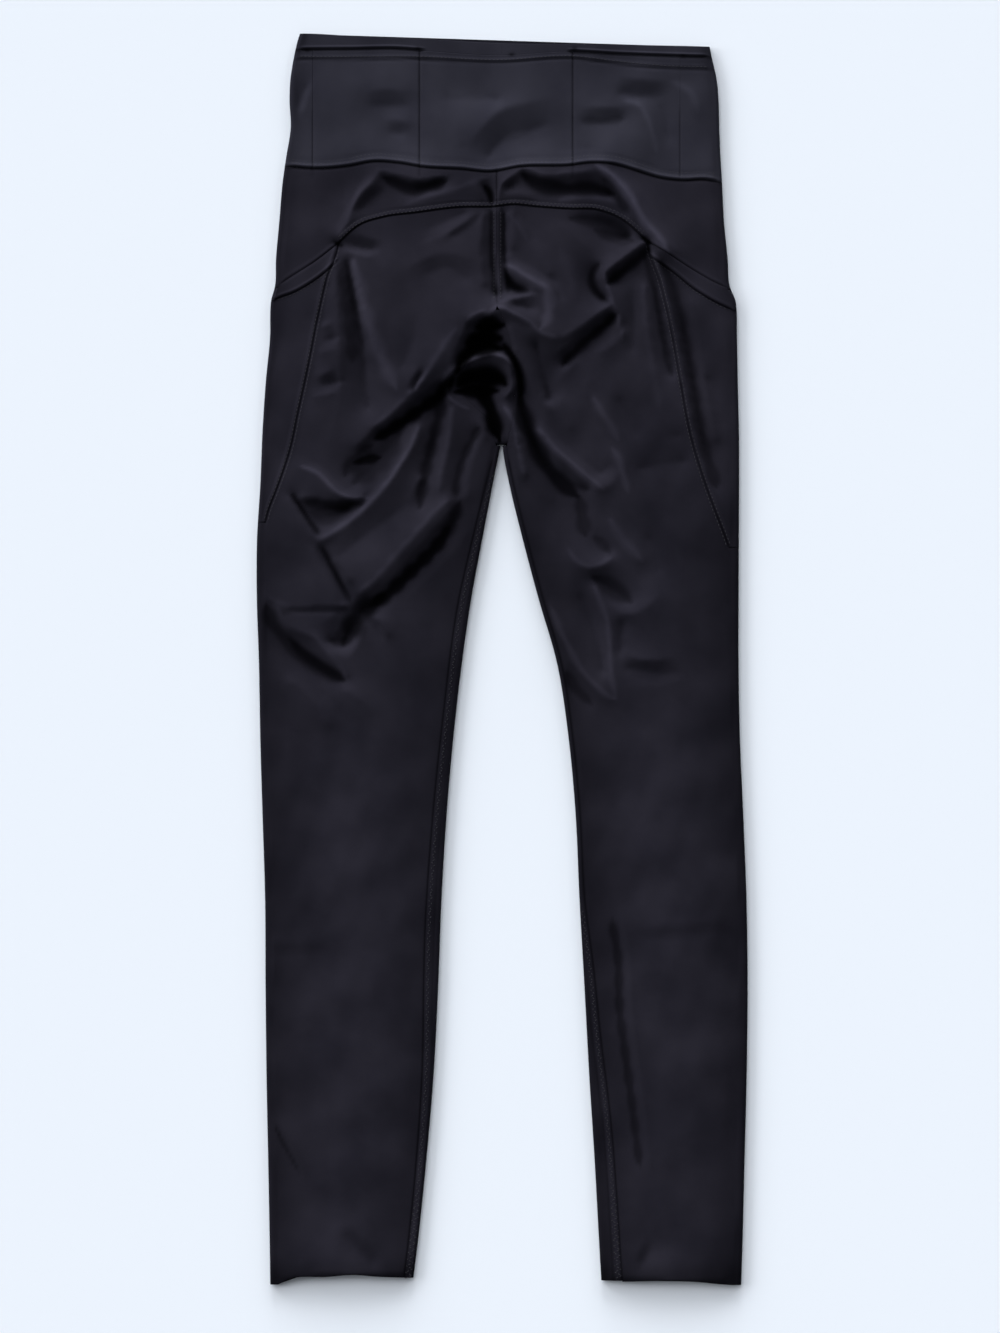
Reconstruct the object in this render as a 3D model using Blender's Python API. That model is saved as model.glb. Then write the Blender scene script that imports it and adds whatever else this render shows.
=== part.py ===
"""High-waisted leggings laid flat with the back up.

The garment lies on the plane Z = 0 with its waist towards +Y and its back towards +Z. The
origin is under the middle of it. Every cut piece is a thin wall. The front lies flat on the
surface, the sides turn over in small round folds, and the back lies on the front with the
creases of the seat and the thighs standing up in it. All the sizes are in millimetres.
"""
import math

import bmesh
import bpy
import numpy as np

MM = 0.001

# Walls and folds
WALL = 1.2            # one layer of the knit
BAND_WALL = 1.5       # the waistband, which is doubled
HEM_WALL = 1.8        # turned bands: the casing and the pocket hems
FOLD_RADIUS = 2.4     # outer radius where the cloth turns over at the sides
BACK = 2 * FOLD_RADIUS
SEAM_GAP = 0.3
LOWEST_BACK = 3.6     # the deepest trough still clears the front
STEEPEST = 1.6        # the wall's greatest height over its thickness, on a slope
HEM_RISE = 0.8        # how far the pocket hems stand above the panel

# The outline at each height: outer and inner side of each leg
OUTLINE_COLUMNS = ("y", "left_outer", "left_inner", "right_inner", "right_outer")
OUTLINE = (
    (-470, -173.9, -67.5, 74.5, 179.0),
    (-435, -174.4, -63.2, 72.5, 180.1),
    (-375, -175.5, -57.0, 69.2, 181.6),
    (-315, -176.7, -51.8, 65.4, 183.1),
    (-240, -177.5, -47.9, 61.3, 183.9),
    (-180, -177.8, -45.6, 57.9, 183.1),
    (-115, -179.8, -41.7, 54.9, 180.6),
    (-60, -181.4, -36.9, 49.9, 178.2),
    (0, -182.5, -30.0, 40.5, 177.1),
    (45, -184.0, -23.5, 27.5, 177.1),
    (90, -183.9, -15.2, 15.5, 177.3),
    (136, -181.2, -6.4, 4.4, 177.5),
    (152, -180.6, -3.2, 1.3, 177.5),
    (160, -180.3, -1.6, 0.3, 177.5),
    (210, -177.2, -1.0, -0.4, 176.5),
    (245, -174.0, -1.0, -0.4, 175.9),
    (262, -173.9, -1.0, -0.4, 175.6),
    (269, -173.4, -1.0, -0.4, 174.9),
    (280, -170.5, -1.0, -0.4, 170.6),
    (300, -169.7, -1.0, -0.4, 169.0),
    (330, -167.1, -1.0, -0.4, 166.1),
    (358, -164.7, -1.0, -0.4, 164.7),
    (376, -162.2, -1.0, -0.4, 163.6),
    (400, -158.6, -1.0, -0.4, 162.6),
    (420, -159.5, -1.0, -0.4, 162.1),
    (436, -158.8, -1.0, -0.4, 160.6),
    (452, -156.2, -1.0, -0.4, 157.0),
    (464, -153.5, -1.0, -0.4, 154.5),
    (472, -151.0, -1.0, -0.4, 152.0),
)
CROTCH_X = -0.7
CROTCH_Y = 160.7

# Seams that run across, as y at each x
TOP_EDGE = ((-160, 469.5), (-148, 469.7), (-107, 467.4), (-54, 465.2), (-2, 462.2),
            (88, 461.1), (148, 459.9), (165, 459.5))
CASING_SEAM = ((-165, 457.0), (-144, 457.5), (-114, 457.7), (-77, 458.0), (-57, 456.5),
               (-2, 453.2), (50, 455.8), (88, 453.9), (136, 452.2), (170, 451.5))
WAIST_SEAM = ((-185, 370.5), (-163, 369.9), (-137, 368.3), (-117, 369.9), (-95, 373.5),
              (-77, 372.2), (-59, 369.2), (-31, 367.7), (-9, 365.8), (14, 369.5),
              (50, 370.4), (67, 372.3), (85, 371.0), (102, 366.2), (119, 361.3),
              (136, 359.4), (152, 360.0), (165, 357.8), (185, 356.0))
YOKE_SEAM = ((-123.2, 311.8), (-109, 324.5), (-89, 331.8), (-65.5, 334.9), (-32, 339.0),
             (-7, 339.6), (8, 341.2), (28, 339.4), (51, 337.9), (72, 337.0), (90, 329.6),
             (109.3, 313.3))
HEM_LEFT = ((-180, -469.0), (-170, -468.5), (-160, -463.8), (-131, -461.8), (-112, -460.3),
            (-94, -461.6), (-67, -462.8))
HEM_RIGHT = ((70, -464.2), (84, -465.3), (118, -464.9), (148, -465.8), (165, -467.6),
             (182, -468.6))

# Each side: where the yoke meets the pocket, the pocket's slanted opening, the lower edge of
# its hem band, and the seam from there down to its tip, as x at each y
CENTRE_SEAM_X = -4.0
CENTRE_FRONT_X = -1.0
SIDES = {
    "left": {
        "sign": -1,
        "junction": (-123.2, 311.8),
        "opening": ((-176, 276.0), (-170.5, 279.2), (-157.7, 287.4), (-138.2, 300.0),
                    (-123.2, 311.8)),
        "band": ((-180, 266.0), (-173.5, 269.4), (-154.7, 276.5), (-138.2, 286.5),
                 (-122.0, 300.0)),
        "pocket_seam": ((100, -178.0), (112, -175.0), (126, -169.5), (156, -159.2),
                        (188, -152.2), (221, -145.0), (259, -137.5), (285, -131.5),
                        (311.8, -123.2), (340, -128.0), (375, -134.0)),
        "tip_y": 103.0,
        "band_y": 269.4,
        "opening_y": 278.8,
        "waist_y": 369.9,
        "casing_y": 457.0,
        "top_y": 469.6,
        "front_seam_x": -128.0,
        "hem": HEM_LEFT,
    },
    "right": {
        "sign": 1,
        "junction": (109.3, 313.3),
        "opening": ((109.3, 313.3), (125.0, 303.7), (143.8, 291.7), (158.8, 283.2),
                    (170.0, 278.4), (178, 275.5)),
        "band": ((108.5, 304.0), (127.3, 291.5), (143.8, 278.4), (159.5, 268.7),
                 (174.5, 262.0), (180, 260.0)),
        "pocket_seam": ((80, 171.5), (94, 166.5), (111, 159.8), (139, 149.6), (167, 141.4),
                        (210, 133.3), (248, 126.5), (283, 118.3), (313.3, 109.3),
                        (340, 118.0), (375, 128.0)),
        "tip_y": 84.0,
        "band_y": 262.0,
        "opening_y": 277.6,
        "waist_y": 357.8,
        "casing_y": 451.8,
        "top_y": 459.8,
        "front_seam_x": 128.0,
        "hem": HEM_RIGHT,
    },
}

# The gusset at each height: its two seams on the back and on the front
GUSSET_COLUMNS = ("y", "back_left", "back_right", "front_left", "front_right")
GUSSET = (
    (161, -4.7, 3.4, -2.8, 1.6),
    (182, -12.0, 8.0, -11.0, 9.5),
    (193, -24.0, 8.8, -11.5, 10.0),
    (205, -33.0, 9.8, -9.5, 8.0),
    (221, -28.5, 9.0, -6.5, 5.0),
    (240, -15.5, 5.5, -3.0, 1.5),
    (262, -5.0, -2.0, -2.2, -0.2),
)
GUSSET_TIP_Y = 262.0
CROTCH_ROOM = 0.8     # the gusset turns under this far above the legs
TIP_WIDTH = 3.5       # the pocket's width at its tip, clear of the side fold
INSEAM_INSET = 10.5   # how far the inseam lies in from the inner side of the leg
INSEAM_START = 3.2    # the same at the crotch
INSEAM_SLANT = 0.06   # how fast it moves from one to the other

# The crests and troughs of the back. Each row has a name and the points along one of them, and
# a point is its x, its y and the height of the cloth there.
CREASES = (
    ("lip_left", (-27, 254, 16.0), (-47, 233, 17.0), (-69, 204, 16.0), (-96, 173, 12.0),
     (-113, 156, 8.0)),
    ("cavity_left", (-18, 245, 4.0), (-35, 219, 4.0), (-59, 194, 4.0), (-86, 168, 4.0),
     (-118, 138, 4.2)),
    ("thigh_crest_high_left", (-53, 175, 12.0), (-77, 141, 13.0), (-102, 118, 12.0),
     (-137, 92, 10.0)),
    ("thigh_dip_left", (-63, 116, 7.0), (-88, 99, 7.5), (-118, 83, 8.0)),
    ("thigh_crest_low_left", (-41, 119, 12.0), (-68, 94, 14.0), (-89, 71, 13.0), (-110, 50, 10.0)),
    ("thigh_trough_low_left", (-32, 120, 4.5), (-51, 86, 4.0), (-80, 53, 4.0), (-105, 33, 4.5),
     (-114, 15, 5.0)),
    ("side_crest_left", (-155, 147, 7.0), (-135, 139, 10.0), (-122, 126, 11.0), (-102, 121, 11.0)),
    ("knee_crest_left", (-176, 47, 6.5), (-152, 40, 9.0), (-114, 41, 9.0)),
    ("knee_trough_left", (-158, 34, 6.5), (-114, 33, 6.0)),
    ("knee_crescent_left", (-178, 45, 4.6), (-165, 21, 4.6), (-141, -1, 4.8), (-117, -15, 5.2)),
    ("pocket_trough_left", (-121, 302, 5.5), (-113, 251, 4.5), (-112, 214, 4.5), (-117, 173, 4.5)),
    ("pocket_crest_left", (-111, 304, 8.5), (-96, 263, 10.5), (-84, 225, 12.0), (-93, 186, 11.0)),
    ("centre_trough_left", (-8, 336, 5.5), (-8, 308, 5.5), (-3, 273, 8.0)),
    ("centre_ridge", (-3, 339, 7.5), (-2, 308, 8.0), (-1, 278, 11.0)),
    ("centre_trough_right", (1, 336, 5.5), (1, 308, 5.5), (5, 284, 6.5)),
    ("lip_centre", (-27, 254, 16.0), (-15, 261, 17.0), (-2, 264, 18.0), (9, 257, 18.0),
     (22, 250, 17.0), (40, 241, 14.0)),
    ("cavity_top", (-17, 249, 3.7), (-8, 254, 3.7), (3, 251, 3.7)),
    ("cavity_fold_right", (9, 240, 12.0), (18, 216, 12.0), (33, 192, 10.0)),
    ("cavity_edge_right", (2, 236, 5.0), (9, 224, 4.0), (13, 201, 4.0)),
    ("pouch_rim", (-42, 204, 10.0), (-33, 218, 12.5), (-20, 224, 13.5), (-8, 228, 13.5),
     (3, 227, 13.5), (9, 218, 12.5), (8, 207, 11.0), (1, 197, 9.0)),
    ("pouch_lower_rim", (-42, 204, 10.0), (-35, 197, 11.0), (-21, 193, 10.0), (-9, 192, 7.0)),
    ("pouch_hollow", (-30, 207, 4.0), (-17, 212, 3.8), (0, 215, 3.8)),
    ("band_trough_left", (-46, 198, 4.5), (-49, 165, 4.8), (-56, 135, 6.0), (-59, 116, 6.5)),
    ("band_crest_left", (-36, 194, 11.0), (-39, 165, 10.5), (-46, 126, 9.5)),
    ("leg_split", (-4, 194, 3.9), (-2, 177, 3.9), (-1, 165, 4.6)),
    ("inner_crest_right", (1, 189, 10.0), (7, 179, 11.0), (13, 161, 10.0), (18, 134, 7.5)),
    ("thigh_trough_right", (10, 198, 4.0), (18, 177, 4.0), (27, 153, 4.0), (43, 129, 4.0),
     (60, 114, 4.8)),
    ("thigh_crest_right", (26, 170, 12.0), (43, 150, 13.0), (62, 132, 12.5), (76, 126, 11.0),
     (89, 135, 9.0)),
    ("side_dip_right", (96, 138, 6.5), (115, 143, 6.0), (137, 147, 6.2)),
    ("knee_band_right", (82, 109, 8.5), (96, 86, 9.0), (111, 71, 8.0)),
    ("cup_crest", (51, 86, 7.0), (56, 74, 9.0), (66, 69, 9.5), (76, 72, 9.0), (83, 77, 8.5)),
    ("cup_trough", (70, 62, 5.0), (82, 51, 4.6), (100, 39, 5.4)),
    ("knee_rib_right", (69, 56, 8.5), (78, 39, 9.0), (82, 15, 8.0), (82, -22, 6.5)),
    ("inner_rib_right", (38, 34, 6.5), (51, 8, 8.0), (66, -15, 8.0), (83, -29, 7.0)),
    ("pinch_crest", (108, 315, 12.0), (92, 305, 12.5), (76, 293, 11.5)),
    ("pinch_trough", (107, 302, 6.0), (91, 291, 5.0), (78, 282, 5.0)),
    ("pinch_side_crest", (76, 290, 11.0), (82, 276, 11.0), (89, 261, 10.5), (90, 244, 9.0)),
    ("ridge_crest_right", (83, 268, 12.0), (62, 251, 12.5), (40, 241, 14.0)),
    ("ridge_trough_right", (85, 257, 5.5), (66, 241, 4.5), (45, 223, 4.2)),
    ("swirl_crest", (3, 296, 9.5), (17, 287, 11.0), (32, 278, 12.0), (38, 267, 12.0),
     (32, 255, 13.0)),
    ("pocket_bank_right", (112, 306, 8.5), (118, 283, 8.0), (127, 248, 7.5), (134, 206, 7.0),
     (140, 167, 7.0), (148, 139, 6.5), (160, 107, 5.5)),
    ("pocket_trough_right", (118, 297, 6.0), (130, 278, 5.0), (139, 248, 4.6), (147, 195, 4.6),
     (157, 154, 4.4), (166, 120, 4.4)),
    ("waist_crest_left", (-89, 366, 7.0), (-77, 363, 8.5), (-58, 362, 8.5), (-41, 364, 7.5)),
    ("waist_trough_left", (-86, 356, 4.8), (-69, 350, 4.4), (-45, 357, 5.0)),
    ("yoke_crest_left", (-95, 368, 7.5), (-105, 348, 8.5), (-117, 329, 8.5), (-122, 315, 8.5)),
    ("yoke_seam_left", (-113, 324, 8.0), (-89, 334, 7.5), (-54, 337, 7.5), (-11, 340, 7.5)),
    ("waist_crest_right", (13, 369, 7.5), (32, 364, 8.5), (70, 363, 9.5), (88, 353, 9.5)),
    ("waist_trough_right", (16, 359, 4.6), (43, 351, 4.3), (73, 350, 4.3), (85, 346, 5.0)),
    ("yoke_crest_right", (78, 368, 9.0), (90, 348, 10.5), (103, 326, 10.5), (111, 317, 10.0)),
    ("yoke_slope_right", (103, 360, 6.0), (118, 334, 6.5), (127, 311, 6.0)),
    ("yoke_seam_right", (13, 341, 7.5), (43, 338, 7.5), (73, 339, 8.0), (92, 329, 9.5),
     (108, 315, 11.0)),
    ("corner_dip_right", (58, 323, 6.0), (81, 315, 5.6), (99, 315, 7.0)),
)

# The grid on which the cloth is drawn taut between its crests and troughs
GRID_LEFT, GRID_RIGHT = -192.0, 192.0
GRID_LOW, GRID_HIGH = -72.0, 480.0
GRID_CELLS = (24.0, 12.0, 6.0, 3.0)
RELAX_STEPS = 200
CREASE_STEPS = 16     # samples between two points of a crease
EDGE_BAND = 3.0       # the cloth stays level this close to a side fold
FADE_WIDTH = 5.0      # and reaches its full height this much further in

# How finely the walls are divided
BACK_COLUMNS = 18
FRONT_COLUMNS = 2
TURN_STEPS = 3
POCKET_COLUMNS = 4
LEG_ROWS = 12
KNEE_ROWS = 14
THIGH_ROWS = 7
GUSSET_ROWS = 11
CENTRE_ROWS = 7
SEAT_ROWS = GUSSET_ROWS + CENTRE_ROWS
YOKE_ROWS = 4
GUSSET_COLUMNS_ACROSS = 5
WAIST_ROWS = 4
PANEL_ROWS = 2
COLUMN_ROOM = 1.0     # a panel's own edge stays this far from the yoke's columns
HEM_Y = -464.0
HEM_REACH = 60.0      # the rows level out this far above the hem
KNEE_Y = -40.0
WAIST_CUTS = (-142.0, -61.9, 53.0, 133.3)   # upright seams of the back waistband


def smooth_curve(points):
    """A smooth function through (key, value) points, straight beyond its ends."""
    keys = np.array([point[0] for point in points], float)
    values = np.array([point[1] for point in points], float)
    slopes = np.gradient(values, keys)

    def at(key):
        key = np.clip(np.asarray(key, float), keys[0], keys[-1])
        cell = np.clip(np.searchsorted(keys, key, side="right") - 1, 0, len(keys) - 2)
        width = keys[cell + 1] - keys[cell]
        t = (key - keys[cell]) / width
        start = values[cell] * (1 + 2 * t) * (1 - t) ** 2
        end = values[cell + 1] * t * t * (3 - 2 * t)
        bend = width * t * (1 - t) * (slopes[cell] * (1 - t) - slopes[cell + 1] * t)
        return start + end + bend

    return at


def table_curve(rows, columns, name):
    """The smooth function of a named column over the table's first column."""
    place = columns.index(name)
    return smooth_curve([(row[0], row[place]) for row in rows])


OUTER = {side: table_curve(OUTLINE, OUTLINE_COLUMNS, side + "_outer") for side in SIDES}
INNER = {side: table_curve(OUTLINE, OUTLINE_COLUMNS, side + "_inner") for side in SIDES}
top_edge = smooth_curve(TOP_EDGE)
casing_seam = smooth_curve(CASING_SEAM)
waist_seam = smooth_curve(WAIST_SEAM)
yoke_seam = smooth_curve(YOKE_SEAM)


def side_gap(x, y):
    """How far each place is from the nearest side fold, and less than nothing outside."""
    outer_gap = np.minimum(x - OUTER["left"](y), OUTER["right"](y) - x)
    leg_gap = np.where(x < CROTCH_X, INNER["left"](y) - x, x - INNER["right"](y))
    crotch_gap = np.hypot(x - CROTCH_X, y - CROTCH_Y)
    return np.minimum(outer_gap, np.where(y < CROTCH_Y, leg_gap, crotch_gap))


def crease_path(points):
    """Close points along one crest or trough, on a smooth curve through its own points."""
    keys = np.arange(len(points))
    steps = np.linspace(0, keys[-1], CREASE_STEPS * keys[-1] + 1)
    return [smooth_curve(list(zip(keys, values)))(steps) for values in zip(*points)]


def known_heights(cell):
    """Heights on a grid of this cell size, and where they are given."""
    grid_x, grid_y = np.meshgrid(np.arange(GRID_LEFT, GRID_RIGHT + 1, cell),
                                 np.arange(GRID_LOW, GRID_HIGH + 1, cell))
    total, count = np.zeros(grid_x.shape), np.zeros(grid_x.shape)
    for _, *points in CREASES:
        x, y, height = crease_path(points)
        place = (np.rint((y - GRID_LOW) / cell).astype(int),
                 np.rint((x - GRID_LEFT) / cell).astype(int))
        np.add.at(total, place, height)
        np.add.at(count, place, 1)
    level = (side_gap(grid_x, grid_y) < EDGE_BAND) | (grid_y == GRID_LOW)
    heights = np.where(level, BACK, total / np.maximum(count, 1))
    return heights, level | (count > 0)


def sample(grid, cell, x, y):
    """The grid's value at each place, straight between its points."""
    across = np.clip((x - GRID_LEFT) / cell, 0, grid.shape[1] - 1.001)
    along = np.clip((y - GRID_LOW) / cell, 0, grid.shape[0] - 1.001)
    column, row = across.astype(int), along.astype(int)
    right, up = across - column, along - row
    low = grid[row, column] * (1 - right) + grid[row, column + 1] * right
    high = grid[row + 1, column] * (1 - right) + grid[row + 1, column + 1] * right
    return low * (1 - up) + high * up


def neighbours(grid):
    """The mean of each point's four neighbours."""
    wide = np.pad(grid, 1, mode="edge")
    return (wide[:-2, 1:-1] + wide[2:, 1:-1] + wide[1:-1, :-2] + wide[1:-1, 2:]) / 4


def taut_cloth():
    """The back's height on the finest grid: taut between the crests and troughs, then softened."""
    grid, last_cell = None, None
    for cell in GRID_CELLS:
        given, known = known_heights(cell)
        if grid is None:
            grid = np.full(given.shape, BACK)
        else:
            grid_x, grid_y = np.meshgrid(np.arange(GRID_LEFT, GRID_RIGHT + 1, cell),
                                         np.arange(GRID_LOW, GRID_HIGH + 1, cell))
            grid = sample(grid, last_cell, grid_x, grid_y)
        for _ in range(RELAX_STEPS):
            grid = np.where(known, given, neighbours(grid))
        last_cell = cell
    return (grid + neighbours(grid)) / 2


RELIEF = taut_cloth()


def back_height(x, y):
    """Height of the back's outer face above the surface it lies on."""
    x, y = np.asarray(x, float), np.asarray(y, float)
    fade = np.clip((side_gap(x, y) - FOLD_RADIUS) / FADE_WIDTH, 0.0, 1.0)
    fade = fade * fade * (3 - 2 * fade)
    lift = sample(RELIEF, GRID_CELLS[-1], x, y) - BACK
    return np.maximum(BACK + fade * lift, LOWEST_BACK)


def back_points(x, y, wall, rise=0.0):
    """Outer and inner points of the back at these places."""
    z = back_height(x, y) + rise
    slope_x = (back_height(x + 1, y) - back_height(x - 1, y)) / 2
    slope_y = (back_height(x, y + 1) - back_height(x, y - 1)) / 2
    depth = wall * np.minimum(np.sqrt(1 + slope_x ** 2 + slope_y ** 2), STEEPEST)
    return np.stack([x, y, z], -1), np.stack([x, y, z - depth], -1)


def front_points(x, y, wall):
    """Outer and inner points of the front, which lies on the surface."""
    flat = np.zeros(np.shape(x))
    return np.stack([x, y, flat], -1), np.stack([x, y, flat + wall], -1)


def turn_points(edge, y, sign, wall, rise=0.0):
    """Points round a side fold, from the back down to the front, one column for each step."""
    outer, inner = [], []
    for step in range(TURN_STEPS + 1):
        angle = math.pi * (0.5 - step / TURN_STEPS)
        lift = rise * (1 - step / TURN_STEPS)
        for radius, points in ((FOLD_RADIUS, outer), (FOLD_RADIUS - wall, inner)):
            x = edge - sign * FOLD_RADIUS + sign * radius * math.cos(angle)
            z = FOLD_RADIUS + radius * math.sin(angle) + lift
            points.append(np.stack([x, y, z + 0 * x], -1))
    return np.stack(outer, 1), np.stack(inner, 1)


def spread(start, end, fractions):
    """Values between two ends, a row for each pair of ends and a column for each fraction."""
    start, end = np.asarray(start, float)[:, None], np.asarray(end, float)[:, None]
    return start + (end - start) * fractions[None, :]


def join(*grids):
    """Grids side by side, each starting with the column the last one ends with."""
    outer = [grids[0][0]] + [grid[0][:, 1:] for grid in grids[1:]]
    inner = [grids[0][1]] + [grid[1][:, 1:] for grid in grids[1:]]
    return np.concatenate(outer, 1), np.concatenate(inner, 1)


def material(name, colour, roughness):
    """The cloth's plain finish."""
    cloth = bpy.data.materials.new(name)
    cloth.use_nodes = True
    shader = cloth.node_tree.nodes["Principled BSDF"]
    shader.inputs["Base Color"].default_value = (*colour, 1.0)
    shader.inputs["Roughness"].default_value = roughness
    shader.inputs["Metallic"].default_value = 0.0
    return cloth


def wall_object(name, grid, collection, finish, missing=None):
    """A closed wall between an outer and an inner grid of points, without its missing cells."""
    outer, inner = grid
    rows, columns = outer.shape[:2]
    here = np.ones((rows - 1, columns - 1), bool)
    if missing is not None:
        here &= ~missing
    framed = np.pad(here, 1)
    mesh = bmesh.new()
    corners = {}

    def corner(face, row, column):
        key = (face, row, column)
        if key not in corners:
            point = (outer if face == "outer" else inner)[row, column]
            corners[key] = mesh.verts.new([value * MM for value in point])
        return corners[key]

    for row in range(rows - 1):
        for column in range(columns - 1):
            if not here[row, column]:
                continue
            ring = [(row, column), (row, column + 1), (row + 1, column + 1), (row + 1, column)]
            mesh.faces.new([corner("outer", *place) for place in ring])
            mesh.faces.new([corner("inner", *place) for place in reversed(ring)])
            beyond = ((0, 1), (1, 2), (2, 1), (1, 0))
            for side, (row_step, column_step) in enumerate(beyond):
                if framed[row + row_step, column + column_step]:
                    continue
                first, second = ring[side], ring[(side + 1) % 4]
                mesh.faces.new([corner("outer", *second), corner("outer", *first),
                                corner("inner", *first), corner("inner", *second)])
    bmesh.ops.recalc_face_normals(mesh, faces=mesh.faces)
    data = bpy.data.meshes.new(name)
    mesh.to_mesh(data)
    mesh.free()
    data.shade_smooth()
    data.set_sharp_from_angle(angle=math.radians(50))
    data.materials.append(finish)
    piece = bpy.data.objects.new(name, data)
    collection.objects.link(piece)
    return piece


def across_gap(curve, x):
    """How far along Y each side of a seam across stays from its line."""
    slope = (curve(x + 1.0) - curve(x - 1.0)) / 2
    return SEAM_GAP / 2 * np.sqrt(1 + slope ** 2)


def upright_gap(curve, y):
    """How far along X each side of an upright seam stays from its line."""
    slope = (curve(y + 1.0) - curve(y - 1.0)) / 2
    return SEAM_GAP / 2 * np.sqrt(1 + slope ** 2)


def straight(first, last):
    """The straight line through two (key, value) points."""
    return smooth_curve((first, last))


def between(x, low, high, level, gaps=(1.0, 1.0)):
    """Rows of y at each x, from one seam across to another with the seam gaps taken off."""
    bottom = low(x) + gaps[0] * across_gap(low, x)
    top = high(x) - gaps[1] * across_gap(high, x)
    return bottom + (top - bottom) * level[:, None]


def side_rows(side, low_y, high_y, level, gaps=(1.0, 1.0)):
    """The heights at a side fold between two seams, and where the fold is at each."""
    bottom = low_y + gaps[0] * SEAM_GAP / 2
    top = high_y - gaps[1] * SEAM_GAP / 2
    y = bottom + (top - bottom) * level
    return OUTER[side](y), y


def front_line(name):
    """A seam across the front, straight from one side fold to the other."""
    ends = []
    for data in (SIDES["left"], SIDES["right"]):
        y = data[name]
        ends.append((float(OUTER["left" if data["sign"] < 0 else "right"](y)), y))
    return straight(*ends)


def yoke_columns(side):
    """Places along X of the yoke's columns, from the centre seam past the pocket's corner."""
    data = SIDES[side]
    centre = CENTRE_SEAM_X + data["sign"] * SEAM_GAP / 2
    tangent = OUTER[side](data["waist_y"]) - data["sign"] * FOLD_RADIUS
    seat = np.linspace(centre, data["junction"][0], BACK_COLUMNS + 1)
    flank = np.linspace(data["junction"][0], float(tangent), POCKET_COLUMNS + 1)
    return seat, flank


def panel_columns(left, right):
    """Places along X across a back waistband panel, under the yoke's own columns."""
    places = np.unique(np.concatenate([*yoke_columns("left"), *yoke_columns("right")]))
    inside = [x for x in places if left + COLUMN_ROOM < x < right - COLUMN_ROOM]
    spaced = [x for place, x in enumerate(inside)
              if place == 0 or x - inside[place - 1] > COLUMN_ROOM]
    return np.array([left, *spaced, right])


def round_the_front(low, high, marks, rows, cuts, wall, gaps):
    """A band from a back seam over the left side, along the front and back over the right."""
    level = np.linspace(0.0, 1.0, rows + 1)
    left_x, left_y = side_rows("left", SIDES["left"][marks[0]], SIDES["left"][marks[1]],
                               level, gaps)
    right_x, right_y = side_rows("right", SIDES["right"][marks[0]], SIDES["right"][marks[1]],
                                 level, gaps)
    left_tangent, right_tangent = left_x + FOLD_RADIUS, right_x - FOLD_RADIUS
    ones = np.ones(rows + 1)
    places = panel_columns(left_tangent[0], cuts[0])[::-1]
    x = spread(cuts[0] * ones, left_tangent, (places - places[0]) / (places[-1] - places[0]))
    y = between(x, low, high, level, gaps)
    y[:, -1] = left_y
    left_back = back_points(x, y, wall)
    x = spread(left_tangent, right_tangent, np.linspace(0.0, 1.0, 2 * FRONT_COLUMNS + 1))
    y = spread(left_y, right_y, np.linspace(0.0, 1.0, 2 * FRONT_COLUMNS + 1))
    front = front_points(x, y, wall)
    right_turn = turn_points(right_x, right_y, 1, wall)
    right_turn = (right_turn[0][:, ::-1], right_turn[1][:, ::-1])
    places = panel_columns(cuts[1], right_tangent[0])[::-1]
    x = spread(right_tangent, cuts[1] * ones, (places - places[0]) / (places[-1] - places[0]))
    y = between(x, low, high, level, gaps)
    y[:, 0] = right_y
    right_back = back_points(x, y, wall)
    left_turn = turn_points(left_x, left_y, -1, wall)
    return join(left_back, left_turn, front, right_turn, right_back)


def make_waistband(collection, finish):
    """The casing round the top, three back panels, and the front with both sides."""
    half = SEAM_GAP / 2
    casing = round_the_front(casing_seam, top_edge, ("casing_y", "top_y"), 1, (-half, half),
                             HEM_WALL, (1.0, 0.0))
    wall_object("waistband_casing", casing, collection, finish)
    front = round_the_front(waist_seam, casing_seam, ("waist_y", "casing_y"), WAIST_ROWS,
                            (WAIST_CUTS[0] - half, WAIST_CUTS[3] + half), BAND_WALL,
                            (1.0, 1.0))
    wall_object("waistband_front", front, collection, finish)
    level = np.linspace(0.0, 1.0, PANEL_ROWS + 1)
    names = ("waistband_back_left", "waistband_back_centre", "waistband_back_right")
    for place, name in enumerate(names):
        x = panel_columns(WAIST_CUTS[place] + half, WAIST_CUTS[place + 1] - half)
        y = between(x, waist_seam, casing_seam, level)
        grid = back_points(np.broadcast_to(x, y.shape), y, BAND_WALL)
        wall_object(name, grid, collection, finish)


def pocket_front_seam(side):
    """The pocket's and the yoke's seam on the front, straight from the tip to the waist."""
    data = SIDES[side]
    tip_x = data["pocket_seam"][0][1]
    return straight((data["tip_y"], tip_x), (data["waist_y"], data["front_seam_x"]))


def flank_front(side, low, high, side_x, side_y, level, wall):
    """The part of a side piece that lies on the front, from the fold to its front seam."""
    sign = SIDES[side]["sign"]
    seam = pocket_front_seam(side)
    narrow = np.linspace(0.0, 1.0, POCKET_COLUMNS + 1)
    end_y = side_y
    for _ in range(4):
        end_x = seam(end_y) + sign * upright_gap(seam, end_y)
        bottom = side_y[0] if low is None else low(end_x[0]) + across_gap(low, end_x[0])
        top = high(end_x[-1]) - across_gap(high, end_x[-1])
        end_y = bottom + (top - bottom) * level
    x = spread(side_x - sign * FOLD_RADIUS, end_x, narrow)
    y = spread(side_y, end_y, narrow)
    return front_points(x, bowed(x, y, low, high, level), wall)


def bowed(x, y, low, high, level):
    """Rows with their middles moved so that the end rows follow their seams."""
    top = high(x[-1]) - across_gap(high, x[-1]) - y[-1]
    top[0] = top[-1] = 0.0
    bottom = np.zeros(top.shape)
    if low is not None:
        bottom = low(x[0]) + across_gap(low, x[0]) - y[0]
        bottom[0] = bottom[-1] = 0.0
    return y + level[:, None] * top + (1 - level[:, None]) * bottom


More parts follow.
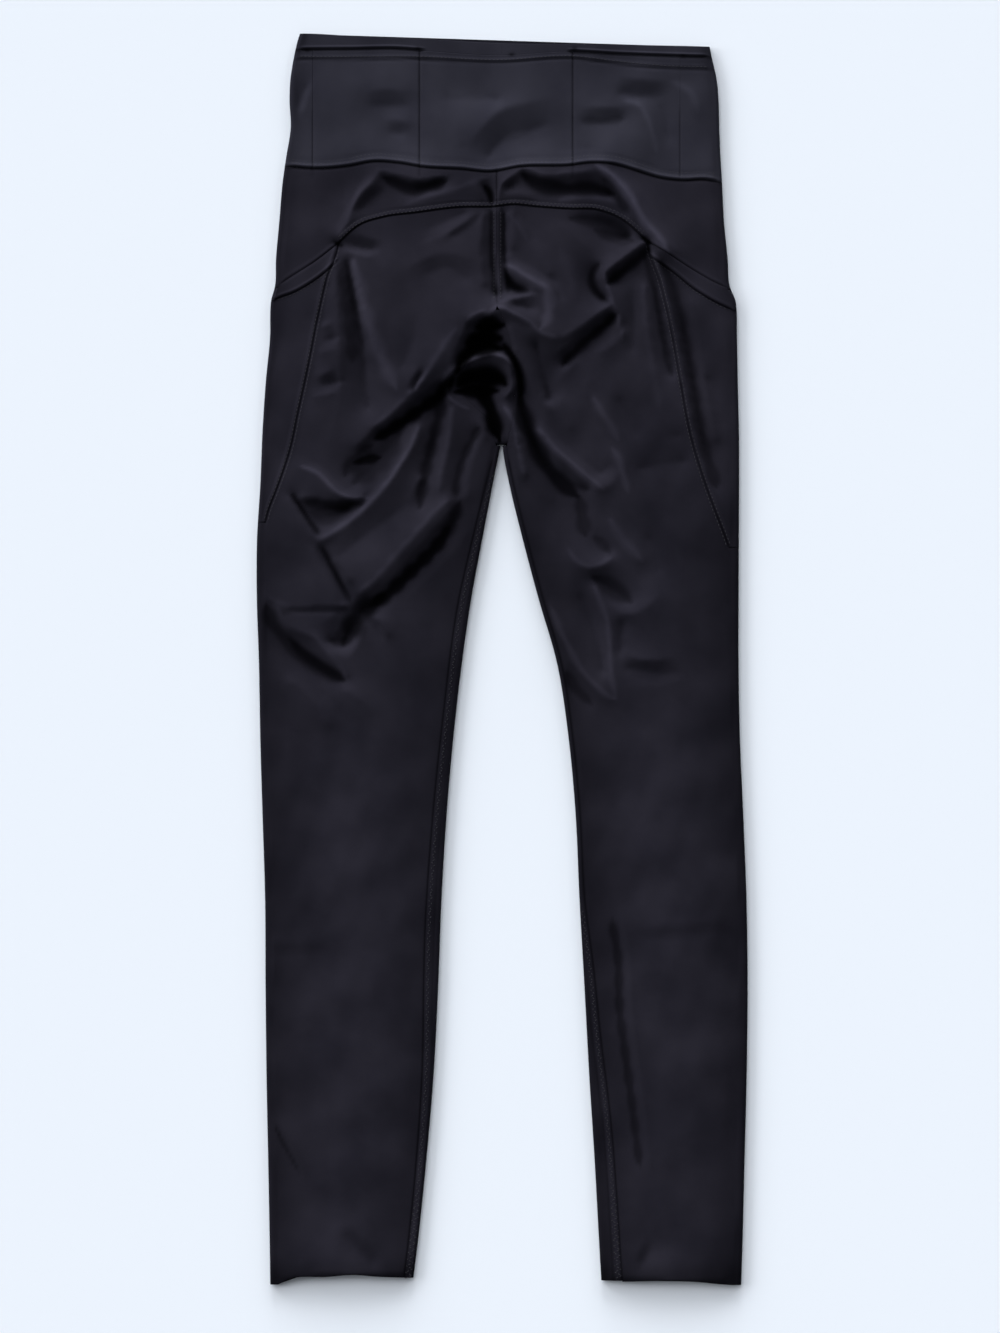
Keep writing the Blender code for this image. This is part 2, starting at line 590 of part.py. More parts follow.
def make_yoke(side, collection, finish):
    """Half of the yoke: centre seam, seat seam, pocket opening, side fold and front seam."""
    data = SIDES[side]
    sign = data["sign"]
    opening = smooth_curve(data["opening"])
    level = np.linspace(0.0, 1.0, YOKE_ROWS + 1)
    seat_x, _ = yoke_columns(side)
    y = between(seat_x, yoke_seam, waist_seam, level)
    corner_y = y[:, -1].copy()
    back = back_points(np.broadcast_to(seat_x, y.shape), y, WALL)
    side_x, side_y = side_rows(side, data["opening_y"], data["waist_y"], level)
    start_x = np.full(YOKE_ROWS + 1, data["junction"][0])
    narrow = np.linspace(0.0, 1.0, POCKET_COLUMNS + 1)
    x = spread(start_x, side_x - sign * FOLD_RADIUS, narrow)
    y = between(x, opening, waist_seam, level)
    y[:, 0], y[:, -1] = corner_y, side_y
    flank = back_points(x, y, WALL)
    turn = turn_points(side_x, side_y, sign, WALL)
    front = flank_front(side, opening, front_line("waist_y"), side_x, side_y, level, WALL)
    wall_object("yoke_" + side, join(back, flank, turn, front), collection, finish)


def pocket_piece(side, low, high, seam_y, marks, wall, rise):
    """A side piece between the pocket's back and front seams, with rows at these heights."""
    sign = SIDES[side]["sign"]
    seam = smooth_curve(SIDES[side]["pocket_seam"])
    level = (seam_y - seam_y[0]) / (seam_y[-1] - seam_y[0])
    side_x, side_y = side_rows(side, marks[0], marks[1], level)
    seam_x = seam(seam_y) + sign * upright_gap(seam, seam_y)
    narrow = np.linspace(0.0, 1.0, POCKET_COLUMNS + 1)
    x = spread(seam_x, side_x - sign * FOLD_RADIUS, narrow)
    y = bowed(x, spread(seam_y, side_y, narrow), low, high, level)
    back = back_points(x, y, wall, rise)
    turn = turn_points(side_x, side_y, sign, wall, rise)
    front = flank_front(side, low, high, side_x, side_y, level, wall)
    return join(back, turn, front)


def seam_crossing(side, curve, direction):
    """Where the pocket's back seam meets a seam across, a seam gap above or below it."""
    seam = smooth_curve(SIDES[side]["pocket_seam"])
    x = SIDES[side]["junction"][0]
    for _ in range(6):
        y = curve(x) + direction * across_gap(curve, x)
        x = seam(y)
    return float(y)


def make_pocket(side, collection, finish):
    """The pocket's outer panel and its hem band, both from back seam to front seam."""
    data = SIDES[side]
    opening = smooth_curve(data["opening"])
    band = smooth_curve(data["band"])
    top = seam_crossing(side, band, -1)
    rows = leg_heights(side)
    rows = np.concatenate([rows, seat_ends(side)])
    inside = rows[(rows > data["tip_y"] + 3.0) & (rows < top - 3.0)]
    seam_y = np.array([data["tip_y"] + SEAM_GAP, *inside, top])
    panel = pocket_piece(side, None, band, seam_y, (data["tip_y"] + SEAM_GAP / 2, data["band_y"]),
                         WALL, 0.0)
    wall_object("pocket_" + side, panel, collection, finish)
    seam_y = np.array([seam_crossing(side, band, 1), seam_crossing(side, opening, -1)])
    hem = pocket_piece(side, band, opening, seam_y, (data["band_y"], data["opening_y"]),
                       HEM_WALL, HEM_RISE)
    wall_object("pocket_hem_" + side, hem, collection, finish)


def leg_heights(side):
    """Heights of the leg's rows, from the hem to the crotch."""
    tip_y = SIDES[side]["tip_y"]
    return np.concatenate([
        np.linspace(HEM_Y, KNEE_Y, LEG_ROWS + 1)[:-1],
        np.linspace(KNEE_Y, tip_y, KNEE_ROWS + 1)[:-1],
        np.linspace(tip_y, CROTCH_Y, THIGH_ROWS + 1),
    ])


def seat_heights(top):
    """Rows above the crotch: along the gusset's seams, then up the centre seam to the top."""
    along_gusset = np.linspace(CROTCH_Y, GUSSET_TIP_Y, GUSSET_ROWS + 1)[1:]
    return np.concatenate([along_gusset, np.linspace(GUSSET_TIP_Y, top, CENTRE_ROWS + 1)[1:]])


def seat_ends(side):
    """Heights of the same rows where they end at the pocket's back seam."""
    top = float(yoke_seam(CENTRE_SEAM_X))
    level = (seat_heights(top) - CROTCH_Y) / (top - CROTCH_Y)
    return CROTCH_Y + (SIDES[side]["junction"][1] - SEAM_GAP - CROTCH_Y) * level


def leg_stretch(side, start_x, end_x, columns):
    """Part of the leg below the crotch, with its lowest row on the hem."""
    heights = leg_heights(side)
    hem = smooth_curve(SIDES[side]["hem"])
    x = spread(start_x, end_x, np.linspace(0.0, 1.0, columns + 1))
    fade = np.clip(1 - (heights - HEM_Y) / HEM_REACH, 0.0, 1.0)[:, None]
    return x, heights[:, None] + fade * (hem(x) - HEM_Y)


def seat_back(side):
    """The back above the crotch, between gusset and pocket, up to the yoke."""
    sign = SIDES[side]["sign"]
    gusset = table_curve(GUSSET, GUSSET_COLUMNS, "back_" + side)
    seam = smooth_curve(SIDES[side]["pocket_seam"])
    centre = CENTRE_SEAM_X + sign * SEAM_GAP / 2
    top = float(yoke_seam(CENTRE_SEAM_X)) - SEAM_GAP / 2
    start_y = seat_heights(top)
    tip_x = gusset(GUSSET_TIP_Y) + sign * upright_gap(gusset, GUSSET_TIP_Y)
    rise = np.clip((start_y - GUSSET_TIP_Y) / (top - GUSSET_TIP_Y), 0.0, 1.0)
    start_x = np.where(start_y > GUSSET_TIP_Y, tip_x + (centre - tip_x) * rise,
                       gusset(start_y) + sign * upright_gap(gusset, start_y))
    end_y = seat_ends(side)
    end_x = seam(end_y) - sign * upright_gap(seam, end_y)
    wide = np.linspace(0.0, 1.0, BACK_COLUMNS + 1)
    x, y = spread(start_x, end_x, wide), spread(start_y, end_y, wide)
    bow = yoke_seam(x[-1]) - across_gap(yoke_seam, x[-1]) - y[-1]
    bow[-1] = 0.0
    level = (start_y - CROTCH_Y) / (top - CROTCH_Y)
    return x, y + level[:, None] ** 2 * bow


def seat_front(side):
    """The front above the crotch, from its side seam to the centre front, up to the waist."""
    sign = SIDES[side]["sign"]
    gusset = table_curve(GUSSET, GUSSET_COLUMNS, "front_" + side)
    seam = pocket_front_seam(side)
    waist = front_line("waist_y")
    centre = CENTRE_FRONT_X + sign * SEAM_GAP / 2
    top = float(waist(CENTRE_FRONT_X)) - SEAM_GAP / 2
    inner_y = seat_heights(top)
    inner_x = np.where(inner_y > GUSSET_TIP_Y, centre,
                       gusset(inner_y) + sign * upright_gap(gusset, inner_y))
    level = (inner_y - CROTCH_Y) / (top - CROTCH_Y)
    corner_y = float(waist(SIDES[side]["front_seam_x"])) - SEAM_GAP / 2
    outer_y = CROTCH_Y + (corner_y - CROTCH_Y) * level
    outer_x = seam(outer_y) - sign * upright_gap(seam, outer_y)
    few = np.linspace(0.0, 1.0, FRONT_COLUMNS + 1)
    return spread(outer_x, inner_x, few), spread(outer_y, inner_y, few)


def make_leg(side, collection, finish):
    """One leg with its half of the seat and of the front, cut out for the pocket."""
    data = SIDES[side]
    sign = data["sign"]
    heights = leg_heights(side)
    back_seam, front_seam = smooth_curve(data["pocket_seam"]), pocket_front_seam(side)
    gusset = table_curve(GUSSET, GUSSET_COLUMNS, "back_" + side)
    outer_x, inner_x = OUTER[side](heights), INNER[side](heights)
    outer_tangent, inner_tangent = outer_x - sign * FOLD_RADIUS, inner_x + sign * FOLD_RADIUS
    slack = INSEAM_START + INSEAM_SLANT * (CROTCH_Y - heights)
    inseam = inner_x + sign * np.minimum(INSEAM_INSET, slack)
    above_tip = heights > data["tip_y"] - 1.0
    back_cut = np.where(above_tip, back_seam(heights) - sign * upright_gap(back_seam, heights),
                        outer_tangent - sign * TIP_WIDTH)
    front_cut = np.where(above_tip, front_seam(heights) - sign * upright_gap(front_seam, heights),
                         outer_tangent - sign * TIP_WIDTH)
    start = inseam + sign * SEAM_GAP / 2
    start[-1] = gusset(CROTCH_Y) + sign * SEAM_GAP / 2
    low_back, high_back = leg_stretch(side, start, back_cut, BACK_COLUMNS), seat_back(side)
    low_front = leg_stretch(side, front_cut, inner_tangent, FRONT_COLUMNS)
    high_front = seat_front(side)
    back = back_points(*(np.concatenate(pair) for pair in zip(low_back, high_back)), WALL)
    front = front_points(*(np.concatenate(pair) for pair in zip(low_front, high_front)), WALL)

    hidden_rows = np.full(SEAT_ROWS, CROTCH_Y)
    cut_columns = (back[0][:, -1, :2], front[0][:, 0, :2])
    outer_y = np.concatenate([low_front[1][:, 0], hidden_rows])
    inner_y = np.concatenate([low_front[1][:, -1], hidden_rows])
    outer_turn = turn_points(OUTER[side](outer_y), outer_y, sign, WALL)
    inner_turn = turn_points(INNER[side](inner_y), inner_y, -sign, WALL)
    inner_turn = (inner_turn[0][:, ::-1], inner_turn[1][:, ::-1])
    brink = np.stack([OUTER[side](outer_y) - sign * FOLD_RADIUS, outer_y], -1)
    back_brink = back_points(*(np.stack([cut_columns[0][:, axis], brink[:, axis]], 1)
                               for axis in (0, 1)), WALL)
    front_brink = front_points(*(np.stack([brink[:, axis], cut_columns[1][:, axis]], 1)
                                 for axis in (0, 1)), WALL)
    strip_start = INNER[side](inner_y) + sign * FOLD_RADIUS
    strip_end = np.concatenate([inseam, np.full(SEAT_ROWS, inseam[-1])]) - sign * SEAM_GAP / 2
    x = spread(strip_start, strip_end, np.array([0.0, 1.0]))
    strip = back_points(x, np.broadcast_to(inner_y[:, None], x.shape), WALL)
    grid = join(back, back_brink, outer_turn, front_brink, front, inner_turn, strip)

    missing = np.zeros((grid[0].shape[0] - 1, grid[0].shape[1] - 1), bool)
    turned = BACK_COLUMNS + TURN_STEPS + 2
    missing[LEG_ROWS + KNEE_ROWS:, BACK_COLUMNS:turned] = True
    missing[heights.size - 1:, turned + FRONT_COLUMNS:] = True
    wall_object("leg_" + side, grid, collection, finish, missing)


def gusset_places(face, y):
    """Places along X across one face of the gusset, a row for each height."""
    edges = []
    for side in ("left", "right"):
        curve = table_curve(GUSSET, GUSSET_COLUMNS, face + "_" + side)
        edges.append(curve(y) - SIDES[side]["sign"] * upright_gap(curve, y))
    return spread(edges[0], edges[1], np.linspace(0.0, 1.0, GUSSET_COLUMNS_ACROSS + 1))


def gusset_turn(low, step, radius):
    """One row of the gusset where it turns under at the crotch."""
    angle = math.pi * (0.5 - step / TURN_STEPS)
    part = step / TURN_STEPS
    y = low - radius * math.cos(angle)
    back_x, front_x = (gusset_places(face, np.array([y]))[0] for face in ("back", "front"))
    x = back_x * (1 - part) + front_x * part
    return np.stack([x, y + 0 * x, FOLD_RADIUS + radius * math.sin(angle) + 0 * x], -1)


def make_gusset(collection, finish):
    """The crotch piece: it lies on the back, turns under at the crotch and lies on the front."""
    low = CROTCH_Y + CROTCH_ROOM + FOLD_RADIUS
    y = np.linspace(GUSSET_TIP_Y, CROTCH_Y, GUSSET_ROWS + 1)
    y[0], y[-1] = GUSSET_TIP_Y - SEAM_GAP, low
    sheets = []
    for face, place in (("back", back_points), ("front", front_points)):
        x = gusset_places(face, y)
        sheets.append(place(x, np.broadcast_to(y[:, None], x.shape), WALL))
    (back_outer, back_inner), (front_outer, front_inner) = sheets
    steps = range(1, TURN_STEPS)
    turned_outer = np.stack([gusset_turn(low, step, FOLD_RADIUS) for step in steps])
    turned_inner = np.stack([gusset_turn(low, step, FOLD_RADIUS - WALL) for step in steps])
    outer = np.concatenate([back_outer, turned_outer, front_outer[::-1]])
    inner = np.concatenate([back_inner, turned_inner, front_inner[::-1]])
    wall_object("gusset", (outer, inner), collection, finish)


def main():
    """Clear the scene and make every piece."""
    for old in list(bpy.data.objects):
        bpy.data.objects.remove(old, do_unlink=True)
    collection = bpy.data.collections.new("leggings")
    bpy.context.scene.collection.children.link(collection)
    knit = material("black_knit", (0.018, 0.018, 0.024), 0.62)
    band = material("waistband_knit", (0.026, 0.026, 0.034), 0.58)
    make_waistband(collection, band)
    for side in SIDES:
        make_yoke(side, collection, knit)
        make_pocket(side, collection, knit)
        make_leg(side, collection, knit)
    make_gusset(collection, knit)


main()
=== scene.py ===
"""The looks of the leggings: laid flat with the back up, on a pale floor.

Every piece of cloth is a thin sheet in the place of its solid. The sheets are worked out in
millimetres, +Y towards the waist and +Z out of the floor, and made in metres.
"""
import math

import bpy
import numpy as np
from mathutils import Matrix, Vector


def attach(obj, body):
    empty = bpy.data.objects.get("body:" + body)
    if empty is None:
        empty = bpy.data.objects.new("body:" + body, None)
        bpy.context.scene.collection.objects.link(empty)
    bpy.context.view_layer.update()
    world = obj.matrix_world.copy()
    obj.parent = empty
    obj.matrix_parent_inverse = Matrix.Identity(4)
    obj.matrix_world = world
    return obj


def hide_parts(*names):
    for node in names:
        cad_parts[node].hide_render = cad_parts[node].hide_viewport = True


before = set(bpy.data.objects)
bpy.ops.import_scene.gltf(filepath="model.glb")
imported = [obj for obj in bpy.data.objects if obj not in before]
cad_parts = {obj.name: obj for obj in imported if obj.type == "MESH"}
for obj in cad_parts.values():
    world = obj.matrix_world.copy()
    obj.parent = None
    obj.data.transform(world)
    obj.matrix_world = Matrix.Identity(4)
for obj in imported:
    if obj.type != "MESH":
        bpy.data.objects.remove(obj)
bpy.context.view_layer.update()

MM = 0.001

FOLD_RADIUS = 2.4         # where the cloth turns over at the sides
BACK = 2 * FOLD_RADIUS    # the height of the level back
LOWEST_BACK = 3.4         # no trough goes lower
SEAM_GAP = 0.1            # between two pieces along their seam
HIDDEN_GAP = 0.2          # how much of it is left where the casing's seam hardly shows
HEM_RISE = 0.8            # how far the pocket hems stand above the panel
CLOTH = 0.7               # how deep the turned rim of a sheet is
TINY = 1e-9

# The outline at each height: outer and inner side of each leg
OUTLINE_COLUMNS = ("y", "left_outer", "left_inner", "right_inner", "right_outer")
OUTLINE = (
    (-470, -173.9, -67.5, 74.5, 179),
    (-435, -174.4, -63.2, 72.5, 180.1),
    (-375, -175.5, -57, 69.2, 181.6),
    (-315, -176.7, -51.8, 65.4, 183.1),
    (-240, -177.5, -47.9, 61.3, 183.9),
    (-180, -177.8, -45.6, 57.9, 183.1),
    (-115, -179.8, -41.7, 54.9, 180.6),
    (-60, -181.4, -36.9, 49.9, 178.2),
    (0, -182.5, -30, 40.5, 177.1),
    (45, -184, -23.5, 27.5, 177.1),
    (90, -183.9, -15.2, 15.5, 177.3),
    (136, -181.2, -6.4, 4.4, 177.5),
    (152, -180.6, -3.2, 1.3, 177.5),
    (160, -180.3, -1.6, 0.3, 177.5),
    (210, -177.2, -1, -0.4, 176.5),
    (245, -174, -1, -0.4, 175.9),
    (262, -173.9, -1, -0.4, 175.6),
    (269, -173.4, -1, -0.4, 174.9),
    (280, -170.5, -1, -0.4, 170.6),
    (300, -169.7, -1, -0.4, 169),
    (330, -167.1, -1, -0.4, 166.1),
    (358, -164.7, -1, -0.4, 164.7),
    (376, -162.2, -1, -0.4, 163.6),
    (400, -158.6, -1, -0.4, 162.6),
    (420, -159.5, -1, -0.4, 162.1),
    (436, -158.8, -1, -0.4, 160.6),
    (452, -156.2, -1, -0.4, 157),
    (464, -153.5, -1, -0.4, 154.5),
    (472, -151, -1, -0.4, 152),
)
CROTCH_X = -0.7
CROTCH_Y = 160.7

# Seams that run across, as y at each x
TOP_EDGE = ((-160, 469.5), (-148, 469.7), (-107, 467.4), (-54, 465.2), (-2, 462.2),
            (88, 461.1), (148, 459.9), (165, 459.5))
CASING_SEAM = ((-165, 457), (-144, 457.5), (-114, 457.7), (-77, 458), (-57, 456.5),
               (-2, 453.2), (50, 455.8), (88, 453.9), (136, 452.2), (170, 451.5))
CASING_STITCH = ((-165, 451), (-144, 450.5), (-60, 450.5), (-2, 448), (53, 450.8),
                 (88, 446.8), (118, 443.8), (160, 442.5))
WAIST_SEAM = ((-185, 370.5), (-163, 369.9), (-137, 368.3), (-117, 369.9), (-95, 373.5),
              (-77, 372.2), (-59, 369.2), (-31, 367.7), (-9, 365.8), (14, 369.5),
              (50, 370.4), (67, 372.3), (85, 371), (102, 366.2), (119, 361.3),
              (136, 359.4), (152, 360), (165, 357.8), (185, 356))
YOKE_SEAM = ((-123.2, 311.8), (-109, 324.5), (-89, 331.8), (-65.5, 334.9), (-32, 339),
             (-7, 339.6), (8, 341.2), (28, 339.4), (51, 337.9), (72, 337), (90, 329.6),
             (109.3, 313.3))
HEM_LEFT = ((-180, -469), (-170, -468.5), (-160, -463.8), (-131, -461.8), (-112, -460.3),
            (-94, -461.6), (-67, -462.8))
HEM_RIGHT = ((70, -464.2), (84, -465.3), (118, -464.9), (148, -465.8), (165, -467.6),
             (182, -468.6))

CENTRE_SEAM_X = -4.0
CENTRE_FRONT_X = -1.0
TIP_CLOSE = 2.5           # how far above the gusset's tip the seat's halves meet

# Each side: where the yoke meets the pocket, and as y at each x the pocket's slanted opening
# and the lower edge of its hem band. Then at each y the x of the pocket's back seam, and how
# far in from the leg's inner side the inseam lies. Then the heights of the seams on the side
# fold, where the front seam meets the waist, and the hem.
SIDES = {
    "left": {
        "sign": -1,
        "junction": (-123.2, 311.8),
        "opening": ((-176, 276), (-170.5, 279.2), (-157.7, 287.4), (-138.2, 300),
                    (-123.2, 311.8)),
        "band": ((-180, 266), (-173.5, 269.4), (-154.7, 276.5), (-138.2, 286.5),
                 (-122, 300)),
        "pocket_seam": ((100, -178), (112, -175), (126, -169.5), (156, -159.2),
                        (188, -152.2), (221, -145), (259, -137.5), (285, -131.5),
                        (311.8, -123.2), (340, -128), (375, -134)),
        "inseam": ((-470, 6.8), (-390, 7), (-310, 8.4), (-225, 11), (-120, 10),
                   (-40, 9), (40, 9), (100, 6.5), (162, 3.2)),
        "tip_y": 103,
        "band_y": 269.4,
        "opening_y": 278.8,
        "waist_y": 369.9,
        "casing_y": 457,
        "top_y": 469.6,
        "front_seam_x": -128,
        "hem": HEM_LEFT,
    },
    "right": {
        "sign": 1,
        "junction": (109.3, 313.3),
        "opening": ((109.3, 313.3), (125, 303.7), (143.8, 291.7), (158.8, 283.2),
                    (170, 278.4), (178, 275.5)),
        "band": ((108.5, 304), (127.3, 291.5), (143.8, 278.4), (159.5, 268.7),
                 (174.5, 262), (180, 260)),
        "pocket_seam": ((80, 171.5), (94, 166.5), (111, 159.8), (139, 149.6), (167, 141.4),
                        (210, 133.3), (248, 126.5), (283, 118.3), (313.3, 109.3),
                        (340, 118), (375, 128)),
        "inseam": ((-470, 15.8), (-405, 15.2), (-330, 13.4), (-285, 10.4), (-225, 7.4),
                   (-180, 4), (-120, 3.4), (40, 3.4), (162, 3.2)),
        "tip_y": 84,
        "band_y": 262,
        "opening_y": 277.6,
        "waist_y": 357.8,
        "casing_y": 451.8,
        "top_y": 459.8,
        "front_seam_x": 128,
        "hem": HEM_RIGHT,
    },
}

# The gusset at each height: its two seams on the back and on the front
GUSSET_COLUMNS = ("y", "back_left", "back_right", "front_left", "front_right")
GUSSET = (
    (161, -4.7, 3.4, -2.8, 1.6),
    (182, -12, 8, -11, 9.5),
    (193, -24, 8.8, -11.5, 10),
    (205, -33, 9.8, -9.5, 8),
    (221, -28.5, 9, -6.5, 5),
    (240, -15.5, 5.5, -3, 1.5),
    (262, -5, -2, -2.2, -0.2),
)
GUSSET_TIP_Y = 262.0
CROTCH_ROOM = 0.8         # between the gusset's turn and the crotch
TIP_WIDTH = 3.5           # between a leg's side fold and its columns below the pocket
HEM_Y = -464.0            # the mean height of the hems
HEM_REACH = 60.0          # how far up the rows still follow a hem's own line
WAIST_CUTS = (-142, -61.9, 53, 133.3)       # upright seams of the back waistband
WAIST_CUT_TOPS = (412, 456, 456, 412)   # how far up each of them shows

